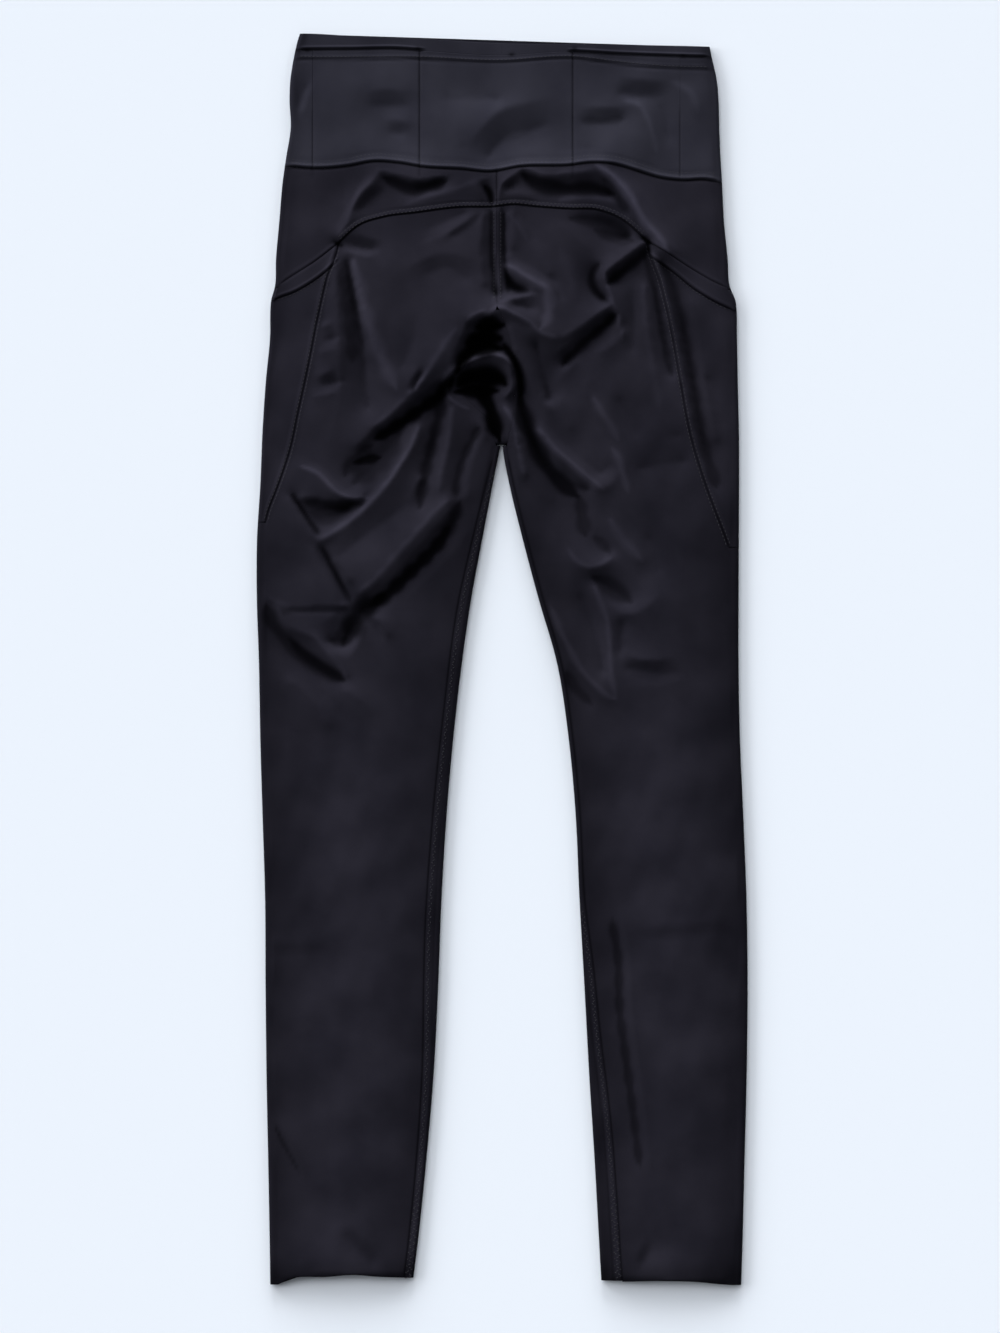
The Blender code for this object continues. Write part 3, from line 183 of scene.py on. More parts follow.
# The crests and troughs of the back. Each row has a name and the points along one of them, and
# a point is its x, its y and the height of the cloth there.
CREASES = (
    ("band_dip_top", (-43, 421, 3.8), (-18, 422, 3.5), (-2, 420, 4)),
    ("band_fold_crest", (37, 421, 6), (16, 417, 7.2), (-3, 411, 7.8), (-17, 397, 7.2),
     (-30, 383, 6)),
    ("band_fold_trough", (33, 401, 4), (16, 395, 3.5), (0, 389, 3.5), (-11, 377, 3.7)),
    ("band_mark_crest", (55, 413, 5.4), (75, 414, 7.2), (94, 413, 6)),
    ("band_mark_trough", (60, 404, 4.2), (76, 404, 3.5), (91, 406, 4.2)),
    ("band_spot_crest", (85, 437, 6), (103, 435, 7.4), (121, 433, 6.4)),
    ("band_spot_trough", (88, 425, 4.2), (105, 423, 3.5), (121, 423, 4.3)),
    ("band_arc", (90, 419, 5.8), (102, 416, 7.6), (109, 406, 8), (113, 393, 7.4), (116, 380, 6)),
    ("band_arc_dip", (120, 417, 4), (123, 404, 3.6), (124, 389, 4)),
    ("band_rise_right", (127, 434, 5.8), (141, 425, 7.4), (147, 411, 6.2)),
    ("band_dent_left", (-102, 426, 5.6), (-87, 428, 6.2), (-71, 426, 5.6)),
    ("band_dent_left_low", (-98, 416, 3.9), (-84, 416, 3.6), (-71, 416, 4)),
    ("band_dent_small", (-86, 405, 5.8), (-75, 404, 6.2), (-68, 399, 5.6)),
    ("band_dent_small_low", (-83, 396, 4), (-74, 395, 3.7)),
    ("band_low_crest", (2, 377, 6.6), (32, 382, 7), (66, 383, 6.2)),
    ("band_side_crease", (-146, 431, 4.2), (-150, 422, 4.1), (-153, 413, 4.2)),
    ("band_side_crest", (-142, 432, 5.9), (-145, 422, 6.1), (-149, 410, 5.8)),
    ("waist_crest_left", (-92, 368, 8), (-80, 364, 9.8), (-62, 360, 10), (-42, 363, 8.6)),
    ("waist_trough_left", (-89, 362, 5), (-78, 357, 3.8), (-67, 353, 3.5), (-54, 355, 3.5),
     (-42, 359, 5.2)),
    ("yoke_ridge_left", (-74, 341, 7), (-56, 347, 8.4), (-38, 352, 8.8), (-20, 359, 8.6),
     (-10, 362, 7.6)),
    ("yoke_crest_left", (-92, 370, 7.8), (-97, 359, 9.6), (-106, 350, 10.2), (-111, 341, 10),
     (-116, 329, 9.6), (-123, 316, 9.2)),
    ("yoke_dip_left", (-84, 352, 5.6), (-95, 349, 4.6), (-104, 342, 5), (-110, 337, 6.2)),
    ("yoke_flank_left", (-102, 363, 6.9), (-114, 345, 6.7), (-124, 326, 6.8)),
    ("yoke_fold_left", (-123, 362, 5.3), (-118, 353, 5), (-119, 344, 5.4)),
    ("pucker_trough", (-14, 356, 5), (-9, 349, 3.5), (-8, 341, 4.2)),
    ("pucker_crest_left", (-21, 358, 9), (-17, 350, 9), (-14, 341, 7.4)),
    ("pucker_crest", (-5, 341, 7), (-2, 352, 9.8), (4, 360, 11.2), (14, 368, 9.6)),
    ("pucker_notch", (1, 354, 6), (6, 356, 5.4), (11, 357, 6.4)),
    ("pucker_crest_low", (-1, 350, 8.6), (10, 350, 9), (22, 347, 8)),
    ("waist_crest_right", (15, 370, 8.8), (32, 363, 10), (52, 365, 10.2), (73, 368, 10.6)),
    ("waist_trough_right", (15, 364, 5.2), (29, 356, 3.7), (48, 353, 3.4), (67, 353, 3.4),
     (84, 349, 4.4)),
    ("valley_bank_right", (40, 344, 6.4), (60, 347, 7), (75, 346, 7.8), (88, 342, 9)),
    ("yoke_crest_right", (70, 371, 11), (82, 362, 13.4), (92, 351, 14.6), (100, 339, 15),
     (107, 326, 14.8), (115, 317, 13.8), (125, 305, 11)),
    ("yoke_slope_right", (103, 368, 6.2), (117, 350, 6.4), (129, 329, 6.2), (138, 308, 6.2)),
    ("yoke_flank_right", (83, 370, 8), (89, 365, 8.6), (98, 355, 9.4), (106, 343, 9.6),
     (113, 331, 9.4), (121, 320, 9), (130, 309, 7.8)),
    ("yoke_shadow_right", (76, 360, 7.6), (85, 348, 7.8), (94, 335, 8.6)),
    ("yoke_seam_right", (13, 341, 7.4), (43, 338, 7), (73, 338, 7.4), (90, 331, 9.2),
     (107, 315, 11.5)),
    ("streak_crest_right", (4, 335, 8.8), (12, 326, 9.4), (19, 314, 8.8)),
    ("streak_dip_right", (10, 335, 7.4), (19, 327, 7.4), (24, 315, 8)),
    ("corner_pit_right", (51, 331, 6.4), (66, 329, 4.6), (82, 326, 3.9), (96, 318, 5.2)),
    ("corner_shadow_right", (69, 322, 5.6), (82, 317, 5), (97, 314, 5.6)),
    ("corner_bank_right", (43, 326, 8.4), (55, 315, 8.8), (67, 307, 8.6)),
    ("corner_crest_left", (-114, 320, 8.2), (-102, 317, 8.6), (-92, 313, 8.6)),
    ("corner_crease_left", (-116, 313, 6.2), (-107, 310, 5), (-95, 308, 5.8)),
    ("corner_facet_left", (-117, 307, 8.6), (-108, 304, 9.8), (-96, 302, 9.8)),
    ("knot_left", (-127, 314, 5.4), (-123, 312, 4.6), (-119, 310, 5.2)),
    ("gleam_crest_left", (-59, 314, 9.6), (-45, 318, 10.6), (-33, 325, 10.6), (-20, 335, 9.2)),
    ("gleam_dip_left", (-56, 323, 8.2), (-42, 329, 8), (-27, 335, 7.6)),
    ("gleam_low_left", (-38, 317, 9), (-26, 324, 8.8), (-15, 333, 8.2)),
    ("pocket_bank_left", (-124, 299, 8.6), (-124, 278, 9.6), (-123, 255, 9.8), (-122, 233, 9.6),
     (-121, 210, 9.2), (-123, 188, 8.4), (-129, 165, 7.8)),
    ("pocket_side_left", (-131, 281, 6.8), (-134, 255, 6.6), (-138, 229, 6.6), (-143, 203, 6.6),
     (-149, 176, 6.6)),
    ("pucker_a_crest", (-136, 249, 8), (-127, 253, 9.2)),
    ("pucker_a_trough", (-132, 239, 5.8), (-124, 242, 6.6)),
    ("pucker_b_crest", (-136, 230, 7.8), (-124, 233, 9.4)),
    ("pucker_c_crest", (-137, 213, 8.2), (-128, 217, 9.4)),
    ("pucker_c_trough", (-134, 207, 5.4), (-120, 209, 6.2)),
    ("pucker_d_crest", (-141, 198, 7.6), (-126, 201, 9.2)),
    ("pocket_trough_left", (-116, 299, 4.6), (-112, 279, 3.6), (-108, 255, 3.5), (-105, 233, 3.5),
     (-103, 208, 4), (-100, 188, 5.8)),
    ("pocket_slope_left", (-120, 293, 6.6), (-116, 270, 6.2), (-114, 246, 5.8), (-112, 224, 6)),
    ("pocket_crest_left", (-112, 299, 10.6), (-107, 279, 12.4), (-101, 255, 13.4), (-94, 235, 14),
     (-86, 216, 14.2), (-79, 203, 14.6)),
    ("seat_plain_left", (-73, 285, 10.6), (-68, 264, 11.2), (-66, 243, 12), (-75, 219, 12.4)),
    ("dome_crest_left", (-71, 293, 11), (-59, 300, 11.6), (-43, 305, 11.4), (-29, 302, 11.2),
     (-18, 294, 10.8), (-12, 282, 10.6)),
    ("dome_low_left", (-59, 288, 10.2), (-41, 294, 9.8), (-26, 285, 9.8)),
    ("roll_crest_left", (-35, 248, 15.4), (-46, 231, 16.6), (-56, 215, 16.8), (-71, 196, 15.4),
     (-87, 180, 13.2), (-98, 174, 11.5)),
    ("roll_crease_left", (-59, 217, 13.6), (-64, 209, 12.2), (-68, 200, 12.8)),
    ("roll_crease_bank", (-64, 218, 15.2), (-68, 209, 15), (-73, 201, 14.8)),
    ("lip_left", (-26, 252, 15), (-34, 235, 14.6), (-41, 218, 14.2), (-54, 206, 13.8),
     (-74, 189, 12.4), (-96, 173, 10.2), (-110, 160, 8)),
    ("lip_tongue", (-26, 249, 11), (-20, 245, 9), (-15, 242, 6)),
    ("cavity_left", (-37, 212, 4.4), (-44, 202, 3.5), (-51, 195, 3.4), (-72, 180, 3.4),
     (-84, 172, 3.4), (-95, 166, 3.6)),
    ("cavity_left_high", (-17, 245, 3.4), (-24, 233, 3.4), (-31, 222, 3.5), (-35, 215, 4)),
    ("cavity_blotch", (-92, 152, 4), (-102, 150, 3.8), (-111, 148, 4.2)),
    ("cavity_end", (-98, 161, 4.2), (-108, 151, 4.4), (-116, 143, 4.8), (-118, 138, 5.4)),
    ("centre_trough_left", (-8, 337, 5), (-8, 308, 4.6), (-5, 273, 6)),
    ("centre_ridge", (-4, 338, 8.8), (-4, 308, 9.4), (-2, 276, 11.8)),
    ("centre_trough_right", (1, 337, 5), (1, 308, 4.6), (4, 276, 6)),
    ("centre_side_right", (7, 335, 9.6), (8, 308, 10.2)),
    ("centre_side_left", (-14, 335, 9.4), (-16, 308, 10.4), (-14, 281, 11.6)),
    ("lip_centre", (-27, 254, 15.5), (-21, 258, 17.2), (-14, 261, 17.4), (-11, 259, 16.6),
     (-2, 264, 17.2), (7, 260, 17.2), (21, 252, 16.6), (29, 245, 15.8), (42, 241, 14.4)),
    ("lip_edge", (-23, 253, 14), (-12, 256, 15.4), (-2, 258, 15.4), (6, 254, 14.6)),
    ("lip_crease", (2, 258, 15), (12, 254, 14.6), (21, 248, 14)),
    ("cavity_top", (-19, 249, 4), (-10, 251, 3.4), (1, 251, 3.6)),
    ("cavity_mid", (-26, 237, 3.4), (-17, 241, 3.4), (-8, 242, 3.4), (-2, 241, 3.6)),
    ("cavity_low", (-29, 227, 3.6), (-20, 232, 3.4), (-10, 234, 3.4), (0, 233, 3.6)),
    ("cavity_fold_right", (5, 251, 14.8), (9, 236, 14.4), (16, 223, 14), (25, 205, 12.8),
     (36, 186, 11.6)),
    ("cavity_fold_bank", (1, 249, 10), (4, 242, 9.4), (8, 232, 8.6)),
    ("cavity_edge_right", (1, 237, 4.4), (8, 225, 3.6), (13, 210, 3.5), (14, 198, 3.5)),
    ("pouch_rim", (-41, 199, 12), (-42, 206, 13.8), (-38, 214, 15.2), (-30, 221, 16.2),
     (-20, 226, 16.8), (-9, 229, 17.2), (1, 227, 17.2), (7, 221, 16.6), (9, 212, 15.6),
     (7, 203, 13.4), (1, 197, 11)),
    ("pouch_bank", (-29, 216, 11.5), (-18, 221, 12.5)),
    ("pouch_bank_right", (1, 221, 13.4), (4, 213, 12)),
    ("pouch_hollow", (-33, 206, 3.6), (-26, 212, 3.5), (-14, 213, 3.4), (-2, 211, 3.5),
     (2, 207, 4)),
    ("pouch_hollow_low", (-35, 201, 3.8), (-26, 202, 3.4), (-15, 202, 3.4), (-3, 202, 3.6)),
    ("pouch_lower_rim", (-41, 199, 12), (-38, 195, 11.4), (-32, 191, 10), (-24, 188, 8)),
    ("band_trough_left", (-45, 200, 3.8), (-47, 184, 3.6), (-53, 161, 3.6), (-58, 139, 5.2),
     (-62, 114, 7.2)),
    ("band_crest_left", (-38, 189, 11.6), (-40, 165, 11), (-45, 143, 10.4), (-48, 126, 10)),
    ("band_left_bank", (-63, 158, 9.6), (-68, 139, 9.4), (-71, 116, 9.2)),
    ("gusset_line_left", (-17, 175, 6.4), (-24, 162, 5), (-30, 149, 4.8), (-34, 134, 4.8),
     (-35, 122, 4.8)),
    ("gusset_ridge_left", (-11, 177, 8), (-18, 161, 7.6), (-24, 143, 7.4), (-27, 120, 7)),
    ("leg_split", (-18, 204, 3.5), (-13, 196, 3.4), (-9, 189, 3.4), (-7, 180, 3.4), (-4, 171, 3.4),
     (-2, 164, 3.8)),
    ("leg_split_left", (-23, 186, 7.8), (-17, 176, 8), (-11, 166, 7.6)),
    ("thigh_crest_high_left", (-62, 176, 12), (-68, 160, 12.6), (-77, 146, 12.6), (-85, 134, 12.4),
     (-95, 122, 12.2), (-105, 112, 11.8), (-117, 102, 11.4), (-128, 95, 11), (-136, 90, 10.4)),
    ("thigh_back_high_left", (-68, 172, 8.2), (-74, 159, 8.8), (-81, 146, 8.8), (-89, 135, 8.8),
     (-99, 125, 8.6), (-109, 116, 8), (-119, 108, 7.4), (-129, 101, 7)),
    ("thigh_ground_high_left", (-77, 169, 4.4), (-89, 154, 4.6), (-101, 141, 5), (-111, 133, 5.6)),
    ("thigh_dip_left", (-59, 138, 9.2), (-71, 118, 9), (-88, 104, 9), (-107, 90, 8.8),
     (-122, 78, 8.6)),
    ("thigh_crest_low_left", (-40, 120, 11.2), (-50, 111, 12), (-60, 100, 12.4), (-72, 86, 12.4),
     (-83, 74, 12.2), (-95, 60, 11.4), (-107, 50, 10.2)),
    ("thigh_edge_low_left", (-38, 114, 10), (-44, 106, 10.4), (-55, 95, 10.6), (-67, 81, 10.4),
     (-77, 68, 10), (-89, 56, 9)),
    ("thigh_plain_left", (-129, 75, 8.6), (-113, 64, 9.6), (-99, 75, 10.6)),
    ("thigh_trough_low_left", (-32, 118, 4.4), (-37, 105, 3.4), (-44, 92, 3.4), (-56, 78, 3.4),
     (-70, 65, 3.4), (-83, 51, 3.4), (-98, 40, 3.6), (-107, 36, 4)),
    ("thigh_core_low_left", (-40, 100, 3.5), (-49, 86, 3.4), (-62, 72, 3.4), (-77, 58, 3.4),
     (-89, 47, 3.4), (-99, 41, 3.6)),
    ("thigh_bank_low_left", (-26, 98, 5.4), (-35, 83, 5.6), (-47, 70, 5.6), (-61, 55, 5.4),
     (-74, 44, 5.2)),
    ("side_crest_left", (-152, 146, 8.4), (-138, 140, 10.6), (-130, 132, 12.4), (-122, 125, 13.4),
     (-111, 121, 13.2), (-101, 122, 12.4)),
    ("side_flank_left", (-144, 149, 7.4), (-133, 143, 7.6), (-124, 134, 8), (-116, 128, 8.6),
     (-106, 127, 9)),
    ("side_shelf_left", (-152, 122, 9), (-137, 121, 9.6), (-122, 119, 10.6), (-107, 118, 11)),
    ("side_trough_left", (-147, 118, 5.6), (-133, 116, 4.4), (-118, 116, 4), (-105, 117, 4.6)),
    ("side_plain_left", (-143, 111, 5), (-134, 108, 4.6), (-123, 110, 4.2), (-114, 113, 4.2)),
    ("crease_high", (-158, 125, 5.6), (-152, 116, 3.8), (-145, 105, 3.8), (-137, 94, 5.6)),
    ("crease_high_bank", (-161, 122, 8), (-155, 113, 8.6), (-148, 102, 8.8), (-141, 92, 9.2)),
    ("crease_low", (-136, 86, 6.2), (-129, 74, 4.2), (-122, 60, 4), (-114, 44, 5.4)),
    ("crease_low_bank", (-142, 84, 9), (-136, 71, 9.2), (-130, 59, 9.4), (-123, 45, 9.4)),
    ("crease_low_right", (-129, 85, 9.4), (-122, 72, 9.6), (-114, 59, 9.8)),
    ("knee_crest_left", (-176, 47, 7), (-155, 40, 9), (-137, 40, 9.4), (-117, 41, 9.6)),
    ("knee_trough_left", (-158, 37, 7), (-137, 37, 6.6), (-113, 38, 6)),
    ("knee_shelf_left", (-164, 34, 8.2), (-148, 34, 8.4), (-125, 35, 8.2)),
    ("junction_pit", (-89, 48, 3.6), (-98, 42, 3.4), (-105, 37, 3.5), (-110, 29, 3.5),
     (-114, 20, 3.5), (-119, 12, 3.8)),
    ("junction_shadow", (-107, 33, 4.4), (-114, 26, 4.6), (-123, 20, 5)),
    ("junction_bank", (-80, 41, 5.8), (-92, 36, 6), (-102, 33, 6)),
    ("knee_ledge_left", (-169, 41, 8.8), (-162, 27, 9.6), (-152, 22, 10), (-140, 17, 10.2),
     (-131, 6, 10), (-122, -4, 9.4), (-116, -13, 8)),
    ("knee_crescent_left", (-177, 41, 4.4), (-173, 29, 3.6), (-164, 17, 3.5), (-153, 6, 3.5),
     (-141, -3, 3.6), (-129, -10, 3.8), (-119, -15, 5)),
    ("knee_core_left", (-159, 16, 3.6), (-149, 5, 3.5), (-138, -3, 3.5), (-127, -10, 3.7),
     (-118, -15, 4.8)),
    ("knee_pit_edge", (-143, 23, 9.2), (-135, 29, 8.6), (-126, 32, 8.2)),
    ("knee_pit_bank", (-134, 11, 9.2), (-125, 5, 9.4), (-116, 2, 8.8), (-108, 13, 8.6),
     (-104, 26, 8.4)),
    ("knee_pit", (-131, 15, 4.6), (-123, 14, 3.8), (-117, 17, 3.6)),
    ("knee_curl_dip", (-100, 32, 6.4), (-94, 24, 5.6), (-89, 15, 6.4)),
    ("knee_curl", (-96, 35, 8.6), (-90, 27, 9), (-85, 18, 8.4)),
    ("knee_soft_left", (-135, -24, 5.4), (-125, -34, 5), (-113, -48, 5.2)),
    ("knee_rise_left", (-118, -22, 7.4), (-105, -30, 7.6), (-95, -39, 7)),
    ("knee_plain_left", (-159, -15, 7.4), (-144, -28, 7.6), (-129, -49, 7)),
    ("knee_hollow_left", (-170, -45, 5), (-158, -52, 4.8), (-144, -61, 5.2)),
    ("knee_mark_left", (-78, 26, 6.4), (-68, 21, 5.8), (-56, 17, 6.2)),
    ("pinch_top", (103, 317, 10.4), (87, 311, 9.4), (76, 305, 9), (71, 297, 9.4)),
    ("pinch_crest", (109, 315, 13), (97, 306, 14), (85, 297, 14.2), (76, 290, 13.6)),
    ("pinch_trough", (110, 308, 6), (98, 297, 4.6), (85, 287, 4), (78, 282, 4.6)),
    ("knot_right", (104, 317, 8), (108, 314, 7.2), (112, 311, 6.6)),
    ("pinch_crescent", (72, 297, 7), (67, 287, 4.2), (70, 277, 4), (78, 269, 6)),
    ("pinch_side_crest", (76, 290, 13.6), (79, 278, 13.2), (83, 267, 14), (88, 254, 12.6),
     (90, 240, 10)),
    ("ridge_crest_right", (82, 267, 14), (72, 260, 14.2), (58, 249, 14.4), (43, 241, 14.4)),
    ("ridge_edge_right", (82, 264, 12.6), (71, 256, 12.4), (57, 245, 12), (42, 231, 11)),
    ("ridge_trough_right", (86, 260, 6), (76, 250, 3.9), (62, 238, 3.6), (45, 221, 3.6)),
    ("ridge_lobe_right", (91, 254, 9.2), (85, 239, 9.6), (72, 230, 9.2)),
    ("v_edge", (25, 238, 9), (29, 218, 7.2), (34, 194, 5.4)),
    ("v_right", (37, 197, 7.4), (43, 210, 9.2), (54, 224, 9.6)),
    ("swirl_crest", (1, 296, 11), (7, 293, 13), (16, 287, 14), (26, 282, 14.4), (33, 278, 14.4),
     (35, 269, 14.4), (34, 257, 14.6), (29, 248, 14.8)),
    ("swirl_flank", (3, 303, 9), (13, 298, 9.6), (23, 293, 10), (33, 287, 10.4), (42, 280, 10.6),
     (45, 270, 11)),
    ("swirl_pit", (3, 290, 5.2), (7, 282, 4), (13, 278, 4.6), (19, 277, 7.2)),
    ("swirl_tail", (-3, 268, 12.6), (7, 271, 12.8), (18, 273, 12.4), (27, 275, 12.2)),
    ("swirl_dip", (7, 266, 10.4), (17, 265, 9.8), (25, 263, 11.4)),
    ("seat_plain_right", (43, 308, 9.4), (52, 285, 10.8), (55, 270, 12)),
    ("seat_rise_right", (27, 311, 9.2), (32, 299, 10.6), (36, 288, 12)),
    ("flank_right", (106, 281, 10), (108, 255, 9.6), (112, 225, 9), (118, 188, 8.2)),
    ("flank_dip_right", (97, 278, 7.2), (97, 255, 6.4), (98, 231, 6.6)),
    ("flank_low_right", (64, 210, 10), (67, 188, 10), (72, 173, 10.2)),
    ("pocket_bank_right", (113, 305, 10), (120, 283, 10.2), (127, 248, 10.2), (135, 206, 10),
     (142, 167, 9.6), (149, 139, 9), (161, 107, 7)),
    ("pocket_trough_right", (119, 299, 6), (127, 278, 4.4), (135, 248, 3.8), (142, 210, 3.7),
     (150, 165, 3.8), (161, 129, 4.4)),
    ("pocket_dip_right", (107, 303, 6.2), (114, 281, 4.8), (120, 248, 4.8), (127, 213, 5.6)),
    ("pocket_plain_right", (141, 270, 7), (148, 233, 7.2), (154, 195, 7.2), (160, 165, 6.8)),
    ("pocket_soft_right", (153, 212, 5.6), (160, 195, 5), (166, 176, 5)),
    ("inner_crest_right", (1, 190, 11), (6, 183, 12.6), (10, 173, 12.8), (13, 158, 11.6),
     (17, 137, 8.6)),
    ("inner_plain_right", (1, 174, 6.6), (5, 159, 6.2)),
    ("thigh_trough_right", (13, 198, 3.5), (16, 182, 3.4), (22, 166, 3.4), (31, 149, 3.4),
     (43, 134, 3.4), (56, 123, 3.8)),
    ("thigh_pool_right", (45, 140, 4.4), (54, 132, 3.8), (66, 128, 4.4)),
    ("thigh_trough_left_edge", (13, 165, 9), (18, 149, 7.6), (25, 132, 6.8), (37, 119, 6.2)),
    ("thigh_crest_right", (27, 173, 12.2), (37, 160, 13.4), (49, 149, 13.8), (59, 140, 13.6),
     (68, 132, 13), (76, 128, 12)),
    ("thigh_flank_right", (33, 177, 9.8), (43, 165, 10), (54, 155, 10.4), (64, 146, 10.2),
     (73, 137, 9.8)),
    ("thigh_curl_right", (76, 128, 12), (83, 135, 11.6), (88, 144, 11), (84, 154, 11),
     (79, 161, 10.6)),
    ("thigh_bowl_right", (62, 149, 10), (73, 140, 9.2), (81, 146, 9.4)),
    ("thigh_trough_tail", (58, 122, 4), (60, 108, 4.2), (62, 93, 5.2)),
    ("thigh_plain_right", (43, 195, 11), (51, 173, 11.4)),
    ("rib_high_right", (68, 197, 10.6), (74, 186, 11.6), (81, 176, 11.6), (87, 165, 10.6)),
    ("rib_low_right", (82, 159, 10.8), (88, 149, 11.6), (91, 137, 10.6), (94, 126, 9.4)),
    ("rib_trough_right", (87, 195, 7.6), (94, 182, 7), (100, 168, 7)),
    ("side_dip_right", (103, 143, 7), (115, 146, 6.8), (137, 149, 6.6)),
    ("side_rise_right", (111, 165, 8), (133, 168, 7.4)),
    ("knee_band_right", (81, 105, 9), (87, 94, 10), (96, 83, 10.2), (105, 74, 9)),
    ("knee_band_dip", (109, 93, 6.6), (115, 81, 5.8), (118, 66, 5.8)),
    ("knee_plain_right", (122, 113, 7.8), (132, 90, 7.8), (133, 60, 7.6)),
    ("cup_dip", (69, 92, 5.4), (76, 86, 4.9), (81, 80, 5.6)),
    ("cup_crest", (49, 84, 7.4), (55, 75, 9.8), (64, 70, 10.6), (73, 71, 10.4), (82, 77, 9)),
    ("cup_trough", (69, 62, 5.2), (78, 57, 4), (87, 51, 3.8), (96, 44, 4.2)),
    ("cup_bank", (82, 41, 8.6), (91, 35, 9), (102, 36, 9.2), (111, 43, 9.4), (117, 48, 8.6)),
    ("knee_rib_right", (69, 56, 9), (73, 45, 10), (79, 29, 10), (81, 8, 9.2), (82, -12, 8.4),
     (85, -30, 7.4)),
    ("knee_rib_dip", (58, 48, 5.6), (67, 29, 5), (73, 8, 5.2), (76, -10, 5.8)),
    ("knee_rib_low_dip", (90, 29, 6), (88, 4, 5.8)),
    ("inner_rib_right", (36, 41, 7), (43, 23, 8.6), (51, 7, 9.4), (59, -7, 9.6), (69, -18, 9.2),
     (78, -26, 8.4), (85, -29, 7.4)),
    ("inner_dip_right", (48, -9, 4.4), (55, -21, 4.2), (67, -33, 4.6)),
    ("knee_plain_low", (96, 21, 7.6), (111, 17, 8.2), (127, 15, 7.8)),
    ("knee_fold_right", (90, 8, 7), (98, 2, 8.8), (111, 0, 9), (127, 2, 7.6)),
    ("knee_fold_dip", (94, -5, 6), (108, -8, 5.6), (121, -10, 5.6), (133, -9, 6.2)),
    ("knee_fold_bank", (103, -19, 6.8), (118, -19, 6.8), (133, -15, 6.6)),
    ("shin_crease_left", (-170, -350, 4.2), (-163, -364, 3.8), (-152, -384, 4.3)),
    ("shin_crease_left_bank", (-165, -348, 5.4), (-158, -361, 5.8), (-147, -381, 5.3)),
    ("shin_line_left", (-176, -213, 5.3), (-133, -212, 5.3)),
    ("shin_line_left_dip", (-176, -218, 4.3), (-133, -217, 4.3)),
    ("hem_dip_left", (-118, -430, 4.3), (-107, -442, 3.9), (-96, -453, 4.1)),
    ("hem_rise_left", (-112, -425, 5.4), (-102, -435, 5.6), (-93, -444, 5.4)),
    ("hem_soft_left", (-165, -393, 4.2), (-155, -414, 4.2)),
    ("hem_gape_left", (-164, -462, 7), (-144, -460, 8.6), (-118, -459, 9.2), (-92, -459, 8.6),
     (-75, -459, 7)),
    ("hem_gape_right", (82, -462, 7), (103, -462, 8.6), (127, -463, 9.2), (148, -463, 8.6),
     (166, -464, 7)),
    ("hem_rest_right", (81, -435, 5), (103, -430, 5.2), (133, -430, 5.2), (168, -433, 5)),
    ("hem_rest_left", (-164, -432, 5), (-144, -429, 5.2), (-118, -427, 5.2), (-75, -430, 5)),
    ("shin_valley_right", (82, -195, 4.2), (87, -225, 3.8), (88, -262, 3.6), (93, -300, 3.7),
     (97, -330, 3.8), (103, -379, 4.3)),
    ("shin_bank_right", (90, -191, 5.6), (95, -225, 6.2), (97, -262, 6.5), (102, -300, 6.4),
     (106, -330, 6.2), (112, -379, 5.6)),
    ("hem_crease_right", (112, -439, 4.2), (108, -447, 3.8), (103, -454, 4.2)),
    ("hem_crease_right_bank", (107, -436, 5.4), (102, -443, 5.8), (97, -451, 5.4)),
    ("side_crease_right", (165, -199, 4.2), (170, -207, 3.8), (175, -214, 4.3)),
    ("side_crease_low_right", (163, -214, 4.2), (169, -234, 3.8), (175, -251, 4.3)),
    ("side_soft_right", (171, -262, 4.2), (172, -330, 4), (170, -397, 4.3)),
    ("shin_line_right", (107, -201, 5.5), (133, -199, 5.8), (162, -196, 5.4)),
    ("shin_line_right_dip", (107, -207, 4.5), (135, -205, 4.3), (160, -202, 4.5)),
)

# What each piece is cut to: width and length in millimetres, and area in square millimetres
CUTS = {
    "waistband_casing": (635, 10.7, 6770), "waistband_front": (391, 88, 34300),
    "waistband_back_left": (81, 89, 7150), "waistband_back_centre": (115, 88, 10100),
    "waistband_back_right": (81, 89, 7150), "yoke_left": (206, 92, 10800),
    "yoke_right": (206, 92, 10800), "pocket_left": (102, 191, 8000),
    "pocket_right": (131, 218, 11500), "pocket_hem_left": (104, 10.5, 1080),
    "pocket_hem_right": (140, 10.8, 1500), "leg_left": (360, 836, 227000),
    "leg_right": (360, 832, 214000), "gusset": (45, 200, 4100),
}

# The grid on which the cloth is drawn taut between its crests and troughs
GRID_LEFT, GRID_RIGHT = -192.0, 192.0
GRID_LOW, GRID_HIGH = -480.0, 480.0
GRID_CELLS = (24.0, 12.0, 6.0, 3.0, 1.5)
GRID_EDGE = 1.001         # keeps each place inside the last cell
RELAX_STEPS = 200
CREASE_STEPS = 60         # from one point of a crease to the next
FIRMNESS = 10.0           # how firmly a crease holds the cloth
END_FADE = 6.0            # over what length each of its ends lets go
END_FIRMNESS = 0.02       # how much of its hold is left there
LEVEL_FIRMNESS = 1e6      # how firmly the side folds hold the cloth
EDGE_BAND = 3.0           # the cloth stays level this close to a side fold
FADE_WIDTH = 5.0          # and takes its creases' full height over this width
SOFTNESS = 1.1            # how far a crease is rounded
SOFT_REACH = 3            # how many times as far the rounding looks
SHIN_Y = -75.0            # below here each crease dies out by itself
SHIN_FADE = 40            # over what length below it this begins
SHIN_PULL = 0.0012        # how strongly the cloth there goes back to level

# Painted shade in every hollow, darkening the colour: how far round the mean height is taken,
# how far below it the painted shade starts and is full, and how much it takes
HOLLOW_REACH = 8.0
HOLLOW_DEPTH = (0.8, 3.8)
HOLLOW_SHADE = 0.75
